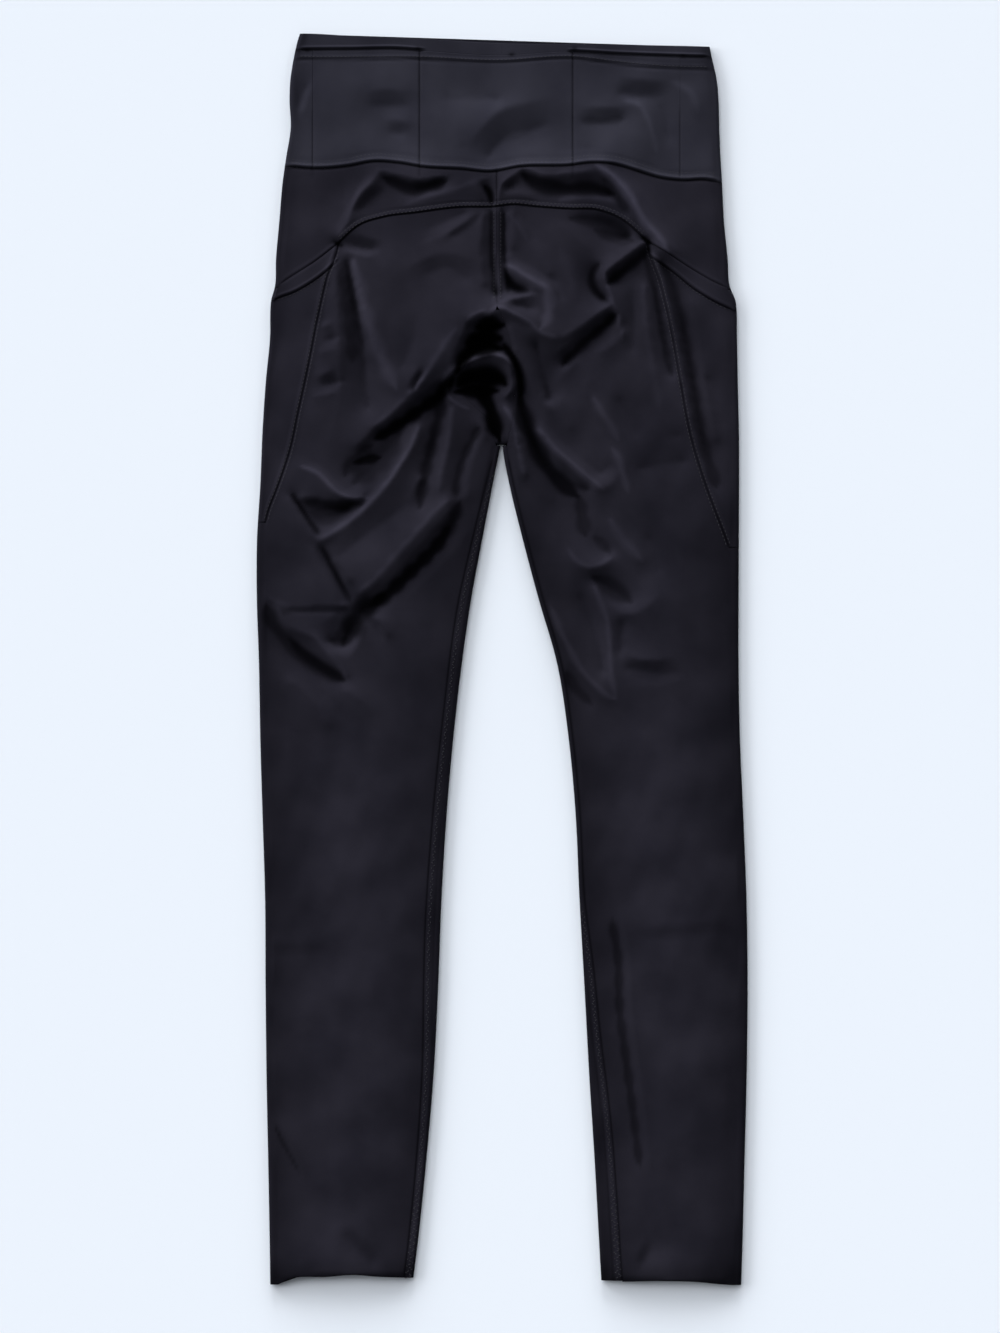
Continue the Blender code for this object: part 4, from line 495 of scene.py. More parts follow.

# The painted shade and highlight along one crease: steps from one point to the next, how much of
# its width is left at its ends, over what length and from where it widens, and how uneven the
# width is
SHADE_STEPS = 12
END_WIDTH = 0.25
END_TAPER, END_START = 2.0, 0.1
UNEVEN, UNEVEN_X, UNEVEN_Y = 0.2, 4.1, 2.7
BEYOND = 9.0              # further away than any shading reaches
FOLD_CORE, FOLD_EDGE = 0.5, 0.85          # the dark middle of a fold's painted shade, and its edge

# Painted shade in the deepest folds, where little light reaches: crease, reach to both sides, and
# how much of the colour is left there
PAINTED_FOLD_SHADE = (
    ("waist_trough_left", 4.6, 0.39), ("waist_trough_right", 5.6, 0.36),
    ("pucker_trough", 2.6, 0.26), ("corner_pit_right", 5.6, 0.56), ("corner_shadow_right", 5, 0.6),
    ("pinch_trough", 3.8, 0.5), ("pinch_crescent", 3.6, 0.5), ("ridge_trough_right", 3.8, 0.48),
    ("swirl_pit", 4.2, 0.51), ("yoke_shadow_right", 4, 0.61), ("pocket_slope_left", 4.6, 0.61),
    ("roll_crease_left", 1.6, 0.46), ("knot_left", 2.6, 0.26), ("knot_right", 2.6, 0.26),
    ("cavity_left", 4.6, 0.09), ("cavity_left_high", 5, 0.03), ("cavity_blotch", 4, 0.18),
    ("cavity_end", 5, 0.56), ("cavity_top", 7, 0.02), ("cavity_mid", 9.5, 0.02),
    ("cavity_low", 6.5, 0.03), ("cavity_edge_right", 3.4, 0.16), ("pouch_hollow", 8, 0.02),
    ("pouch_hollow_low", 6, 0.02), ("leg_split", 6.2, 0.04), ("thigh_trough_right", 6.5, 0.26),
    ("band_trough_left", 4.4, 0.46), ("gusset_line_left", 3, 0.51),
    ("thigh_ground_high_left", 8, 0.56), ("side_trough_left", 4.4, 0.56),
    ("side_plain_left", 6.5, 0.6), ("thigh_trough_low_left", 4.6, 0.46),
    ("thigh_core_low_left", 4.4, 0.36), ("band_mark_trough", 3, 0.72), ("junction_pit", 8, 0.28),
    ("junction_shadow", 8, 0.56), ("knee_crescent_left", 5.4, 0.48), ("knee_core_left", 4, 0.46),
    ("knee_pit", 4.2, 0.51), ("crease_high", 2, 0.36), ("crease_low", 2.2, 0.56),
    ("pocket_trough_right", 4.6, 0.6), ("pocket_dip_right", 3.4, 0.6), ("cup_trough", 6.5, 0.56),
    ("knee_fold_dip", 8.5, 0.92), ("cup_dip", 4.6, 0.72), ("thigh_trough_tail", 5.4, 0.56),
    ("inner_dip_right", 4.4, 0.62), ("centre_trough_left", 2, 0.56),
    ("centre_trough_right", 2, 0.46), ("shin_valley_right", 3.4, 0.5),
    ("shin_crease_left", 1.6, 0.56),
)

# Painted highlights on the crests: crease, how far to each side, and how much lighter
PAINTED_HIGHLIGHTS = (
    ("yoke_crest_right", 5.4, 1.6), ("yoke_crest_left", 4, 0.34), ("waist_crest_left", 2.5, 0.34),
    ("waist_crest_right", 4, 0.51), ("pucker_crest", 3, 0.42), ("pocket_crest_left", 8, 0.75),
    ("swirl_crest", 6.5, 1.1), ("swirl_tail", 2, 0.51), ("lip_centre", 3, 0.8),
    ("pouch_rim", 1.6, 0.59), ("pouch_lower_rim", 1.8, 0.68), ("roll_crest_left", 5, 0.5),
    ("pinch_crest", 3, 0.34), ("pinch_side_crest", 2.6, 0.51), ("ridge_crest_right", 3.4, 0.34),
    ("inner_crest_right", 3.4, 0.7), ("thigh_crest_right", 5, 0.8),
    ("thigh_crest_high_left", 3.4, 0.65), ("thigh_crest_low_left", 4.6, 0.45),
    ("side_crest_left", 3, 1), ("knee_crest_left", 2.5, 0.34), ("rib_high_right", 5, 0.5),
    ("rib_low_right", 4.6, 0.6), ("cup_crest", 3.4, 0.42), ("knee_rib_right", 3.6, 0.5),
    ("inner_rib_right", 4, 0.7), ("knee_band_right", 8, 0.4), ("knee_ledge_left", 2.6, 0.34),
    ("band_arc", 3, 0.34), ("band_rise_right", 5, 0.26), ("gleam_crest_left", 3, 0.2),
    ("flank_right", 5, 0.26), ("pucker_d_crest", 3, 0.26), ("band_crest_left", 4, 0.26),
    ("valley_bank_right", 2.6, 0.5), ("yoke_ridge_left", 3.4, 0.4), ("yoke_flank_right", 9, 0.22),
    ("seat_plain_right", 9, 0.15), ("swirl_flank", 5, 0.15), ("corner_facet_left", 3, 0.26),
    ("streak_crest_right", 2.6, 0.26),
)

# Bar-tacks that hold the casing, as painted shade with the dense thread's own dark: x and y of
# each, and their half width, half height and how dark
BAR_TACKS = ((-146, 457), (-63, 458.6), (7, 453.8), (54, 458.3), (135.5, 452.4))
TACK_WIDTH, TACK_HEIGHT, TACK_THREAD_AND_SHADE = 2.2, 1.5, 0.7

# The broad painted shade: from each leg's painted highlight along its brightest line to its sides,
# at the hems, at the side folds above the crotch and on the casing. Each has the colour lost and
# how far it reaches.
BRIGHTEST = 0.42          # across a leg, from its left side
LEG_SHADE = {"left": 0.5, "right": 0.6}
LEG_HIGHLIGHT = 0.12           # how much the painted highlight lightens the brightest line
LEG_BEND = 1.7            # how late the painted shade deepens towards a side
LEG_START, LEG_FADE = 20, 60              # below the crotch
HEM_SHADE, HEM_DEPTH = 0.55, 22
SIDE_SHADE, SIDE_REACH = 0.25, 14.0
CASING_SHADE, CASING_FADE = 0.2, 2

# How the pieces are divided
NEAR_SEAM = np.array([0.0, 0.4, 0.8, 1.3, 1.9, 2.6, 3.4, 4.3, 5.3, 6.4])
STEP = 1.5                # between columns and rows of the creased back
SHIN_STEP = 4.0           # between rows below the knee
KNEE_Y = -110.0
HEM_ROWS = ((2, 0.5), (8, 1.5))           # how far above the hem a stretch ends, and its step
YOKE_ROWS = ((6.4, STEP), (1.6, 0.8), (0.0, 0.4))     # the same below the yoke
TURN_STEPS = 6            # round a side fold
FRONT_COLUMNS = 6
CASING_ROWS = 24
GUSSET_CELLS = 24
INNER_CELLS = 8           # from a leg's inner side to its inseam
BRINK_CELLS = 3           # from a leg's columns to its side fold
LEAST_CELLS = 4           # across the narrowest panel
SEARCH_STEPS = (4, 6)     # to where the front's and the back's seams cross
LEG_WIDTH = 135.0         # these sizes only set how many columns or rows a piece has
BAND_HEIGHT, BAND_STEP = 88.0, 2.0
YOKE_HEIGHT, YOKE_STEP = 31.0, 1.2
FLANK_WIDTH = 44.0
POCKET_WIDTH, POCKET_HEM_WIDTH, POCKET_HEM_STEP = 32.0, 45.0, 0.8


def smooth_curve(points):
    """A smooth function through (key, value) points, level beyond its ends."""
    keys = np.array([point[0] for point in points], float)
    values = np.array([point[1] for point in points], float)
    slopes = np.gradient(values, keys)

    def at(key):
        key = np.clip(np.asarray(key, float), keys[0], keys[-1])
        cell = np.clip(np.searchsorted(keys, key, side="right") - 1, 0, len(keys) - 2)
        width = keys[cell + 1] - keys[cell]
        t = (key - keys[cell]) / width
        start = values[cell] * (1 + 2 * t) * (1 - t) ** 2
        end = values[cell + 1] * t * t * (3 - 2 * t)
        bend = width * t * (1 - t) * (slopes[cell] * (1 - t) - slopes[cell + 1] * t)
        return start + end + bend

    return at


def table_curve(rows, columns, name):
    """The smooth function of a named column over the table's first column."""
    place = columns.index(name)
    return smooth_curve([(row[0], row[place]) for row in rows])


OUTER = {side: table_curve(OUTLINE, OUTLINE_COLUMNS, side + "_outer") for side in SIDES}
INNER = {side: table_curve(OUTLINE, OUTLINE_COLUMNS, side + "_inner") for side in SIDES}
GUSSET_LINES = {name: table_curve(GUSSET, GUSSET_COLUMNS, name) for name in GUSSET_COLUMNS[1:]}
LINES = {side: {name: smooth_curve(data[name])
                for name in ("opening", "band", "pocket_seam", "inseam", "hem")}
         for side, data in SIDES.items()}
top_edge = smooth_curve(TOP_EDGE)
casing_seam = smooth_curve(CASING_SEAM)
casing_stitch = smooth_curve(CASING_STITCH)
waist_seam = smooth_curve(WAIST_SEAM)
yoke_seam = smooth_curve(YOKE_SEAM)


def inseam_line(side):
    """Where the leg's two edges meet, as x at each y."""
    sign = SIDES[side]["sign"]
    return lambda y: INNER[side](y) + sign * LINES[side]["inseam"](y)


def smooth_step(value):
    """From 0 to 1 with level ends."""
    value = np.clip(value, 0.0, 1.0)
    return value * value * (3 - 2 * value)


def side_gap(x, y):
    """How far each place is from the nearest side fold, and less than nothing outside."""
    outer_gap = np.minimum(x - OUTER["left"](y), OUTER["right"](y) - x)
    leg_gap = np.where(x < CROTCH_X, INNER["left"](y) - x, x - INNER["right"](y))
    crotch_gap = np.hypot(x - CROTCH_X, y - CROTCH_Y)
    return np.minimum(outer_gap, np.where(y < CROTCH_Y, leg_gap, crotch_gap))


def crease_path(points):
    """Close points along one crest or trough, on a smooth curve through its own points."""
    keys = np.arange(len(points))
    steps = np.linspace(0, keys[-1], CREASE_STEPS * keys[-1] + 1)
    return [smooth_curve(list(zip(keys, values)))(steps) for values in zip(*points)]


def grid_places(cell):
    """The grid's x and y at this cell size."""
    return np.meshgrid(np.arange(GRID_LEFT, GRID_RIGHT + 1, cell),
                       np.arange(GRID_LOW, GRID_HIGH + 1, cell))


def known_heights(cell):
    """Heights given on a grid of this cell size, and how firmly each is held."""
    grid_x, grid_y = grid_places(cell)
    total, weight = np.zeros(grid_x.shape), np.zeros(grid_x.shape)
    for _, *points in CREASES:
        x, y, height = crease_path(points)
        step = np.hypot(np.diff(x), np.diff(y))
        along = np.concatenate([[0.0], np.cumsum(step)])
        ends = np.minimum(along, along[-1] - along) / min(END_FADE, along[-1] / 3)
        firmness = (END_FIRMNESS + smooth_step(ends)) * np.append(step, step[-1])
        place = (np.rint((y - GRID_LOW) / cell).astype(int),
                 np.rint((x - GRID_LEFT) / cell).astype(int))
        np.add.at(total, place, height * firmness)
        np.add.at(weight, place, firmness)
    level = side_gap(grid_x, grid_y) < EDGE_BAND
    heights = np.where(level, BACK, total / np.maximum(weight, TINY))
    return heights, np.where(level, LEVEL_FIRMNESS, weight * FIRMNESS)


def sample(grid, cell, x, y):
    """The grid's value at each place, straight between its points."""
    across = np.clip((x - GRID_LEFT) / cell, 0, grid.shape[1] - GRID_EDGE)
    along = np.clip((y - GRID_LOW) / cell, 0, grid.shape[0] - GRID_EDGE)
    column, row = across.astype(int), along.astype(int)
    right, up = across - column, along - row
    low = grid[row, column] * (1 - right) + grid[row, column + 1] * right
    high = grid[row + 1, column] * (1 - right) + grid[row + 1, column + 1] * right
    return low * (1 - up) + high * up


def neighbours(grid):
    """The mean of each point's four neighbours."""
    wide = np.pad(grid, 1, mode="edge")
    return (wide[:-2, 1:-1] + wide[2:, 1:-1] + wide[1:-1, :-2] + wide[1:-1, 2:]) / 4


def softened(grid, cell):
    """The grid with its creases rounded."""
    reach = int(SOFT_REACH * SOFTNESS / cell) + 1
    weights = np.exp(-((np.arange(-reach, reach + 1) * cell / SOFTNESS) ** 2) / 2)
    weights /= weights.sum()
    for axis in (0, 1):
        wide = np.pad(grid, [(reach, reach) if a == axis else (0, 0) for a in (0, 1)], mode="edge")
        grid = sum(weight * np.take(wide, np.arange(step, step + grid.shape[axis]), axis)
                   for step, weight in enumerate(weights))
    return grid


def taut_cloth():
    """The back's height on the finest grid: taut between the crests and troughs, then softened."""
    grid, last_cell = None, None
    for cell in GRID_CELLS:
        given, firmness = known_heights(cell)
        grid_x, grid_y = grid_places(cell)
        pull = SHIN_PULL * cell ** 2 * smooth_step((SHIN_Y - grid_y) / SHIN_FADE)
        if grid is None:
            grid = np.full(given.shape, BACK)
        else:
            grid = sample(grid, last_cell, grid_x, grid_y)
        for _ in range(RELAX_STEPS):
            grid = neighbours(grid) + pull * BACK + firmness * given
            grid /= 1 + pull + firmness
        last_cell = cell
    return softened(grid, last_cell)


RELIEF = taut_cloth()


def crease_gap(points, reach, grid_x, grid_y):
    """How far each place is from a crease, in parts of its reach, which narrows at the ends."""
    x, y, _ = (path[::CREASE_STEPS // SHADE_STEPS] for path in crease_path(points))
    ends = np.minimum(np.hypot(x - x[0], y - y[0]), np.hypot(x - x[-1], y - y[-1]))
    widened = smooth_step(ends / (END_TAPER * reach) + END_START)
    own_reach = reach * (END_WIDTH + (1 - END_WIDTH) * widened)
    own_reach *= 1 + UNEVEN * np.sin(x / UNEVEN_X + y / UNEVEN_Y)
    gap = np.full(np.shape(grid_x), BEYOND)
    for place in range(x.size):
        gap = np.minimum(gap, np.hypot(grid_x - x[place], grid_y - y[place]) / own_reach[place])
    return gap


def painted_shade_and_highlight():
    """Painted shade and highlight on the back: shade in hollows and deep folds, highlight on
    crests.
    """
    mean = RELIEF
    for _ in range(int((HOLLOW_REACH / GRID_CELLS[-1]) ** 2)):
        mean = neighbours(mean)
    shallow, deep = HOLLOW_DEPTH
    painted_light = 1 - HOLLOW_SHADE * smooth_step((mean - RELIEF - shallow) / (deep - shallow))
    grid_x, grid_y = grid_places(GRID_CELLS[-1])
    creases = {name: points for name, *points in CREASES}
    for name, reach, gain in PAINTED_HIGHLIGHTS:
        gap = crease_gap(creases[name], reach, grid_x, grid_y)
        painted_light *= 1 + gain * (1 - smooth_step(gap))
    for name, reach, left in PAINTED_FOLD_SHADE:
        gap = crease_gap(creases[name], reach, grid_x, grid_y)
        painted_light *= left + (1 - left) * smooth_step((gap - FOLD_CORE) / FOLD_EDGE)
    return painted_light


PAINTED_SHADE_AND_HIGHLIGHT = painted_shade_and_highlight()

# Low waves in the cloth: height, wavelength, the way they run in degrees, and shift
WAVES = (
    (0.28, 118, 12, 0.3), (0.26, 83, -38, 1.9), (0.24, 61, 64, 4.1),
    (0.17, 43, -75, 2.2), (0.12, 33, 27, 5), (0.07, 21, -15, 0.8),
)
DRIFT = (12, 57, 9, 37)   # how the waves wander: reach and length each way

# The small form of each kind of seam: offset from its line, half width and height of each rise
SEAM_FORMS = {
    "waist": ((0, 1, -1.1), (2.2, 1.4, 0.4), (3.6, 0.5, -0.3), (5.9, 0.6, -0.35)),
    "casing": ((-0.1, 1, -0.9), (2, 0.8, 0.5)),
    "casing_stitch": ((0, 0.8, -0.6), (1.8, 0.9, 0.4)),
    "yoke": ((0, 0.7, -0.9), (1.8, 1, 0.28), (4, 0.6, -0.35)),
    "upright": ((0, 0.9, -0.5),),
    "upright_faint": ((0, 0.9, -0.25),),
    "centre": ((-4, 1, -0.4), (4.2, 1, -0.4), (0, 0.6, -0.3)),
    "pocket": ((0, 0.8, -0.7), (2, 1, 0.15), (-2.4, 1, 0.28)),
    "opening": ((0, 0.9, -0.5), (1.7, 0.9, 0.3)),
    "inseam": ((0, 0.8, -0.35), (2.6, 1.6, 0.2), (5.8, 0.8, -0.2)),
    "gusset": ((0, 0.8, -0.15),),
}

# Painted shade in the groove of each kind of seam: how much of the cloth's colour is left, and how
# wide
SEAM_SHADE = {
    "waist": (0.3, 1.5), "casing": (0.45, 1.6), "casing_stitch": (0.6, 1), "yoke": (0.4, 1.2),
    "upright": (0.72, 1.1), "centre": (0.8, 1.2), "pocket": (0.66, 1), "opening": (0.66, 1),
    "inseam": (0.54, 1), "gusset": (1, 1), "upright_faint": (0.86, 1),
}

# Painted highlight beside a seam: its middle, half width and how much lighter
SEAM_HIGHLIGHT = {
    "waist": (2.6, 1.2, 0.3), "casing": (2.2, 0.9, 0.2), "casing_stitch": (1.7, 0.9, 0.22),
    "yoke": (2.2, 1.2, 0.16), "pocket": (-2.2, 1.2, 0.2), "opening": (1.8, 1, 0.18),
}

# Painted highlight on the raised strip of each inseam: its middle and half width beside the seam's
# line and how much lighter it is at the hem, how faint that is above, from where down and over
# what length it grows, and the painted shade along the strip's other edge with what is left of the
# colour there
STRIP_MIDDLE, STRIP_WIDTH, STRIP_HIGHLIGHT = 3.0, 2.2, 0.34
STRIP_FAINT, STRIP_TOP, STRIP_GROWTH = 0.12, -150.0, 250.0
STRIP_EDGE, STRIP_EDGE_WIDTH, STRIP_EDGE_LEFT = 6.3, 0.9, 0.72

# The stretch in which each seam shows, along X or for an upright one along Y
SEAM_REACH = {
    "waist": (-170, 170), "casing": (-170, 170), "casing_stitch": (-170, 170),
    "yoke": (-123, 109), "centre": (268, 341), "upright": (341, 368), "inseam": (-480, 150),
    "gusset": (162, 258),
}
OPENING_REACH = 172.0     # how far to each side the pockets' openings show
WAIST_CUT_START = 362     # where the upright seams of the waistband start
FAINT_TOP = 420           # those that end lower than this are faint
SEAM_FADE = 4             # the length over which a seam's end fades
CASING_SEAM_FADE = 5      # and where the casing's seam comes out


def lengthening(curve, along):
    """How much longer a curve is than its run, at each place along it."""
    slope = (curve(along + 1.0) - curve(along - 1.0)) / 2
    return np.sqrt(1 + slope ** 2)


def casing_shown(x):
    """How plainly the casing's seam shows: hardly between the two middle upright seams."""
    middle = (WAIST_CUTS[1] + WAIST_CUTS[2]) / 2
    return smooth_step((np.abs(x - middle) - (WAIST_CUTS[2] - middle)) / CASING_SEAM_FADE + 1)


def level_line(value):
    """A straight seam at one x or y."""
    return lambda key: np.full(np.shape(key), float(value))


def seam_rows():
    """Every seam of the back: form, curve, whether it is upright, its range and its sign."""
    rows = [(form, curve, False, *SEAM_REACH[form], 1) for form, curve in (
        ("waist", waist_seam), ("casing", casing_seam), ("casing_stitch", casing_stitch),
        ("yoke", yoke_seam))]
    rows += [(form, level_line(CENTRE_SEAM_X), True, *SEAM_REACH[form], 1)
             for form in ("centre", "upright")]
    rows += [("upright" if top > FAINT_TOP else "upright_faint", level_line(x), True,
              WAIST_CUT_START, top, 1) for x, top in zip(WAIST_CUTS, WAIST_CUT_TOPS)]
    for side, data in SIDES.items():
        sign, junction = data["sign"], data["junction"]
        rows.append(("pocket", LINES[side]["pocket_seam"], True, data["tip_y"], junction[1],
                     -sign))
        ends = sorted((junction[0], sign * OPENING_REACH))
        rows += [("opening", LINES[side][line], False, *ends, 1) for line in ("opening", "band")]
        rows.append(("inseam", inseam_line(side), True, *SEAM_REACH["inseam"], -sign))
        rows.append(("gusset", GUSSET_LINES["back_" + side], True, *SEAM_REACH["gusset"], sign))
    return rows


SEAMS = seam_rows()


def along_seams(x, y):
    """For each seam of the back: its form, and how far each place is across it and within it."""
    for form, curve, upright, low, high, sign in SEAMS:
        along, across = (y, x) if upright else (x, y)
        distance = (across - curve(along)) / lengthening(curve, along)
        reach = smooth_step((along - low) / SEAM_FADE + 0.5)
        reach = reach * smooth_step((high - along) / SEAM_FADE + 0.5)
        if form == "casing":
            reach = reach * casing_shown(x)
        yield form, sign * distance, reach


def ridge(distance, middle, width, power=2):
    """1 along a line at some distance from a seam, and less to both sides of it."""
    return np.exp(-((distance - middle) / width) ** power)


def seam_relief(x, y):
    """The grooves and low ridges that the seams make in the back."""
    total = np.zeros(np.shape(x))
    for form, distance, reach in along_seams(x, y):
        for offset, width, height in SEAM_FORMS[form]:
            total += height * reach * ridge(distance, offset, width)
    return total


def back_height(x, y):
    """Height of the back above the floor."""
    x, y = np.asarray(x, float), np.asarray(y, float)
    fade = smooth_step((side_gap(x, y) - FOLD_RADIUS) / FADE_WIDTH)
    lift = sample(RELIEF, GRID_CELLS[-1], x, y) - BACK
    drift_x = x + DRIFT[0] * np.sin(y / DRIFT[1])
    drift_y = y + DRIFT[2] * np.sin(x / DRIFT[3])
    for height, wavelength, turn, shift in WAVES:
        turn = math.radians(turn)
        along = drift_x * math.cos(turn) + drift_y * math.sin(turn)
        lift = lift + height * np.sin(2 * math.pi * along / wavelength + shift)
    lift = lift + seam_relief(x, y)
    return np.maximum(BACK + fade * lift, LOWEST_BACK)


def shade(x, y):
    """The painted shade and highlight in the colour: folds, seams, crests and the sides."""
    painted_light = sample(PAINTED_SHADE_AND_HIGHLIGHT, GRID_CELLS[-1], x, y)
    for form, distance, reach in along_seams(x, y):
        left, width = SEAM_SHADE[form]
        painted_light = painted_light * (1 - (1 - left) * reach * ridge(distance, 0.0, width))
        if form in SEAM_HIGHLIGHT:
            middle, width, gain = SEAM_HIGHLIGHT[form]
            painted_light = painted_light * (1 + gain * reach * ridge(distance, middle, width))
        # the inseam's raised strip: painted highlight, with painted shade along its other edge
        if form == "inseam":
            grown = smooth_step((STRIP_TOP - y) / STRIP_GROWTH)
            gain = STRIP_HIGHLIGHT * (STRIP_FAINT + (1 - STRIP_FAINT) * grown)
            painted_light = painted_light * (1 + gain * reach * ridge(distance, STRIP_MIDDLE, STRIP_WIDTH, 4))
            edge = ridge(distance, STRIP_EDGE, STRIP_EDGE_WIDTH)
            painted_light = painted_light * (1 - (1 - STRIP_EDGE_LEFT) * reach * edge)
    # painted shade on the casing
    painted_light = painted_light * (1 - CASING_SHADE * smooth_step((y - casing_stitch(x)) / CASING_FADE))
    # dark spots at the bar-tacks: painted shade with the dense thread's own dark
    for tack_x, tack_y in BAR_TACKS:
        away = ((x - tack_x) / TACK_WIDTH) ** 2 + ((y - tack_y) / TACK_HEIGHT) ** 2
        painted_light = painted_light * (1 - TACK_THREAD_AND_SHADE * np.exp(-away))
    # painted highlight along each leg's brightest line, painted shade towards its sides
    low = smooth_step((CROTCH_Y - LEG_START - y) / LEG_FADE)
    for side, data in SIDES.items():
        width = np.abs(OUTER[side](y) - INNER[side](y))
        left_side = OUTER["left"](y) if side == "left" else INNER["right"](y)
        across = np.clip(np.abs(x - left_side) / width, 0.0, 1.0)
        bend = np.where(across < BRIGHTEST, (BRIGHTEST - across) / BRIGHTEST,
                        (across - BRIGHTEST) / (1 - BRIGHTEST))
        own = data["sign"] * (x - CROTCH_X) > 0
        gain = low * (LEG_HIGHLIGHT - LEG_SHADE[side] * bend ** LEG_BEND)
        painted_light = painted_light * np.where(own, 1 + gain, 1.0)
    # painted shade at the hems and at the side folds
    painted_light = painted_light * (1 - HEM_SHADE * smooth_step((HEM_Y + HEM_DEPTH - y) / HEM_DEPTH))
    at_side = 1 - smooth_step(side_gap(x, y) / SIDE_REACH)
    return painted_light * (1 - SIDE_SHADE * at_side * (1 - low))


def back_sheet(x, y, rise=0.0):
    """Points of the back at these places."""
    return np.stack([x, y, back_height(x, y) + rise], -1)


def front_sheet(x, y):
    """Points of the front, which lies on the floor."""
    return np.stack([x, y, 0 * x], -1)


def turn_sheet(edge, y, sign, rise=0.0):
    """Points round a side fold, from the back down to the front, a column for each step."""
    part = np.arange(TURN_STEPS + 1) / TURN_STEPS
    angle = math.pi * (0.5 - part)
    x = edge[:, None] + sign * FOLD_RADIUS * (np.cos(angle) - 1)
    z = FOLD_RADIUS * (1 + np.sin(angle)) + rise * (1 - part)
    return np.stack([x, y[:, None] + 0 * x, z + 0 * x], -1)


def spread(start, end, parts):
    """Values between two ends, a row for each pair of ends and a column for each part."""
    start, end = np.asarray(start, float)[:, None], np.asarray(end, float)[:, None]
    return start + (end - start) * parts[None, :]


def join(*sheets):
    """Sheets side by side, each starting with the column the last one ends with."""
    return np.concatenate([sheets[0]] + [sheet[:, 1:] for sheet in sheets[1:]], 1)


def evenly(cells):
    """The fractions from 0 to 1 that bound this many equal cells."""
    return np.linspace(0.0, 1.0, cells + 1)


def fractions(width, step=STEP):
    """Places across a panel, close together by its seams and evenly apart elsewhere."""
    if width < 3 * NEAR_SEAM[-1]:
        return evenly(max(LEAST_CELLS, round(width)))
    count = max(2, round((width - 2 * NEAR_SEAM[-1]) / step))
    middle = np.linspace(NEAR_SEAM[-1], width - NEAR_SEAM[-1], count + 1)[1:-1]
    return np.concatenate([NEAR_SEAM, middle, width - NEAR_SEAM[::-1]]) / width


def marks(start, *stretches):
    """Values on from a start, through stretches of an end and a spacing each."""
    values = [np.array([start], float)]
    for end, gap in stretches:
        last = values[-1][-1]
        count = max(1, round(abs(end - last) / gap))
        values.append(np.linspace(last, end, count + 1)[1:])
    return np.concatenate(values)


def normals(points):
    """The outward direction at each point of a sheet that starts on the back."""
    along, across = np.gradient(points, axis=0), np.gradient(points, axis=1)
    normal = np.cross(across, along)
    normal /= np.maximum(np.linalg.norm(normal, axis=-1, keepdims=True), TINY)
    return normal if normal[:, 0, 2].mean() > 0 else -normal


def rimmed(points, rows=(True, True), columns=(True, True)):
    """The sheet with the cloth's thickness shown at its edges, as a strip turned inwards."""
    inward = points - CLOTH * normals(points)
    for axis, ends in ((0, rows), (1, columns)):
        for end, place in zip(ends, (0, -1)):
            if not end:
                continue
            strip = np.take(inward, [place], axis)
            parts = [(strip, points), (points, strip)][-place]
            inner = [(strip, inward), (inward, strip)][-place]
            points, inward = np.concatenate(parts, axis), np.concatenate(inner, axis)
    return points


def cloth_object(name, points, finish, missing=None):
    """A piece of cloth from a grid of points, without its missing cells."""
    rows, columns = points.shape[:2]
    index = np.arange(rows * columns).reshape(rows, columns)
    quads = np.stack([index[:-1, :-1], index[:-1, 1:], index[1:, 1:], index[1:, :-1]], -1)
    quads = quads[~missing] if missing is not None else quads.reshape(-1, 4)
    used, quads = np.unique(quads, return_inverse=True)
    quads = quads.reshape(-1, 4)
    corner = points.reshape(-1, 3)[used]
    facing = np.cross(corner[quads[:, 1]] - corner[quads[:, 0]],
                      corner[quads[:, 3]] - corner[quads[:, 0]])
    on_back = corner[quads[:, 0], 2] > FOLD_RADIUS + 1
    if facing[on_back, 2].mean() < 0:
        quads = quads[:, ::-1]
    piece = smooth_object(name, corner, quads.tolist(), finish)
    # the painted shade and highlight, carried as the vertex colour 'shade'
    painted_light = shade(corner[:, 0], corner[:, 1])
    painted_light = np.where(corner[:, 2] > FOLD_RADIUS / 2, painted_light, 1.0)
    layer = piece.data.color_attributes.new("shade", "FLOAT_COLOR", "POINT")
    layer.data.foreach_set("color", np.repeat(painted_light, 4).astype(np.float32))
    return piece


def in_scene(name, data):
    """An object in the scene with this mesh, light or camera."""
    placed = bpy.data.objects.new(name, data)
    bpy.context.scene.collection.objects.link(placed)
    return placed


def smooth_object(name, corner, faces, finish):
    """A smooth object from its corners in millimetres and its faces."""
    mesh = bpy.data.meshes.new(name)
    mesh.from_pydata((corner * MM).tolist(), [], faces)
    mesh.update()
    mesh.shade_smooth()
    mesh.materials.append(finish)
    return in_scene(name, mesh)


def place_cloth(node, points, finish, missing=None):
    """A piece of cloth in the place of its solid; the size it was cut to is looked up but not
    used.
    """
    piece = cloth_object(node + "_cloth", points, finish, missing)
    width, length, area = CUTS[node]
    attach(piece, "root")
    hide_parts(node)


def across_gap(curve, x):
    """How far along Y each side of a seam across stays from its line."""
    shown = casing_shown(x) if curve is casing_seam else 1.0
    return SEAM_GAP / 2 * lengthening(curve, x) * (HIDDEN_GAP + (1 - HIDDEN_GAP) * shown)


def upright_gap(curve, y):
    """How far along X each side of an upright seam stays from its line."""
    return SEAM_GAP / 2 * lengthening(curve, y)


def straight(first, last):
    """The straight line through two (key, value) points."""
    return smooth_curve((first, last))


def between(x, low, high, level, gaps=(1.0, 1.0)):
    """Rows of y at each x, from one seam across to another with the seam gaps taken off."""
    bottom = low(x) + gaps[0] * across_gap(low, x)
    top = high(x) - gaps[1] * across_gap(high, x)
    return bottom + (top - bottom) * level[:, None]


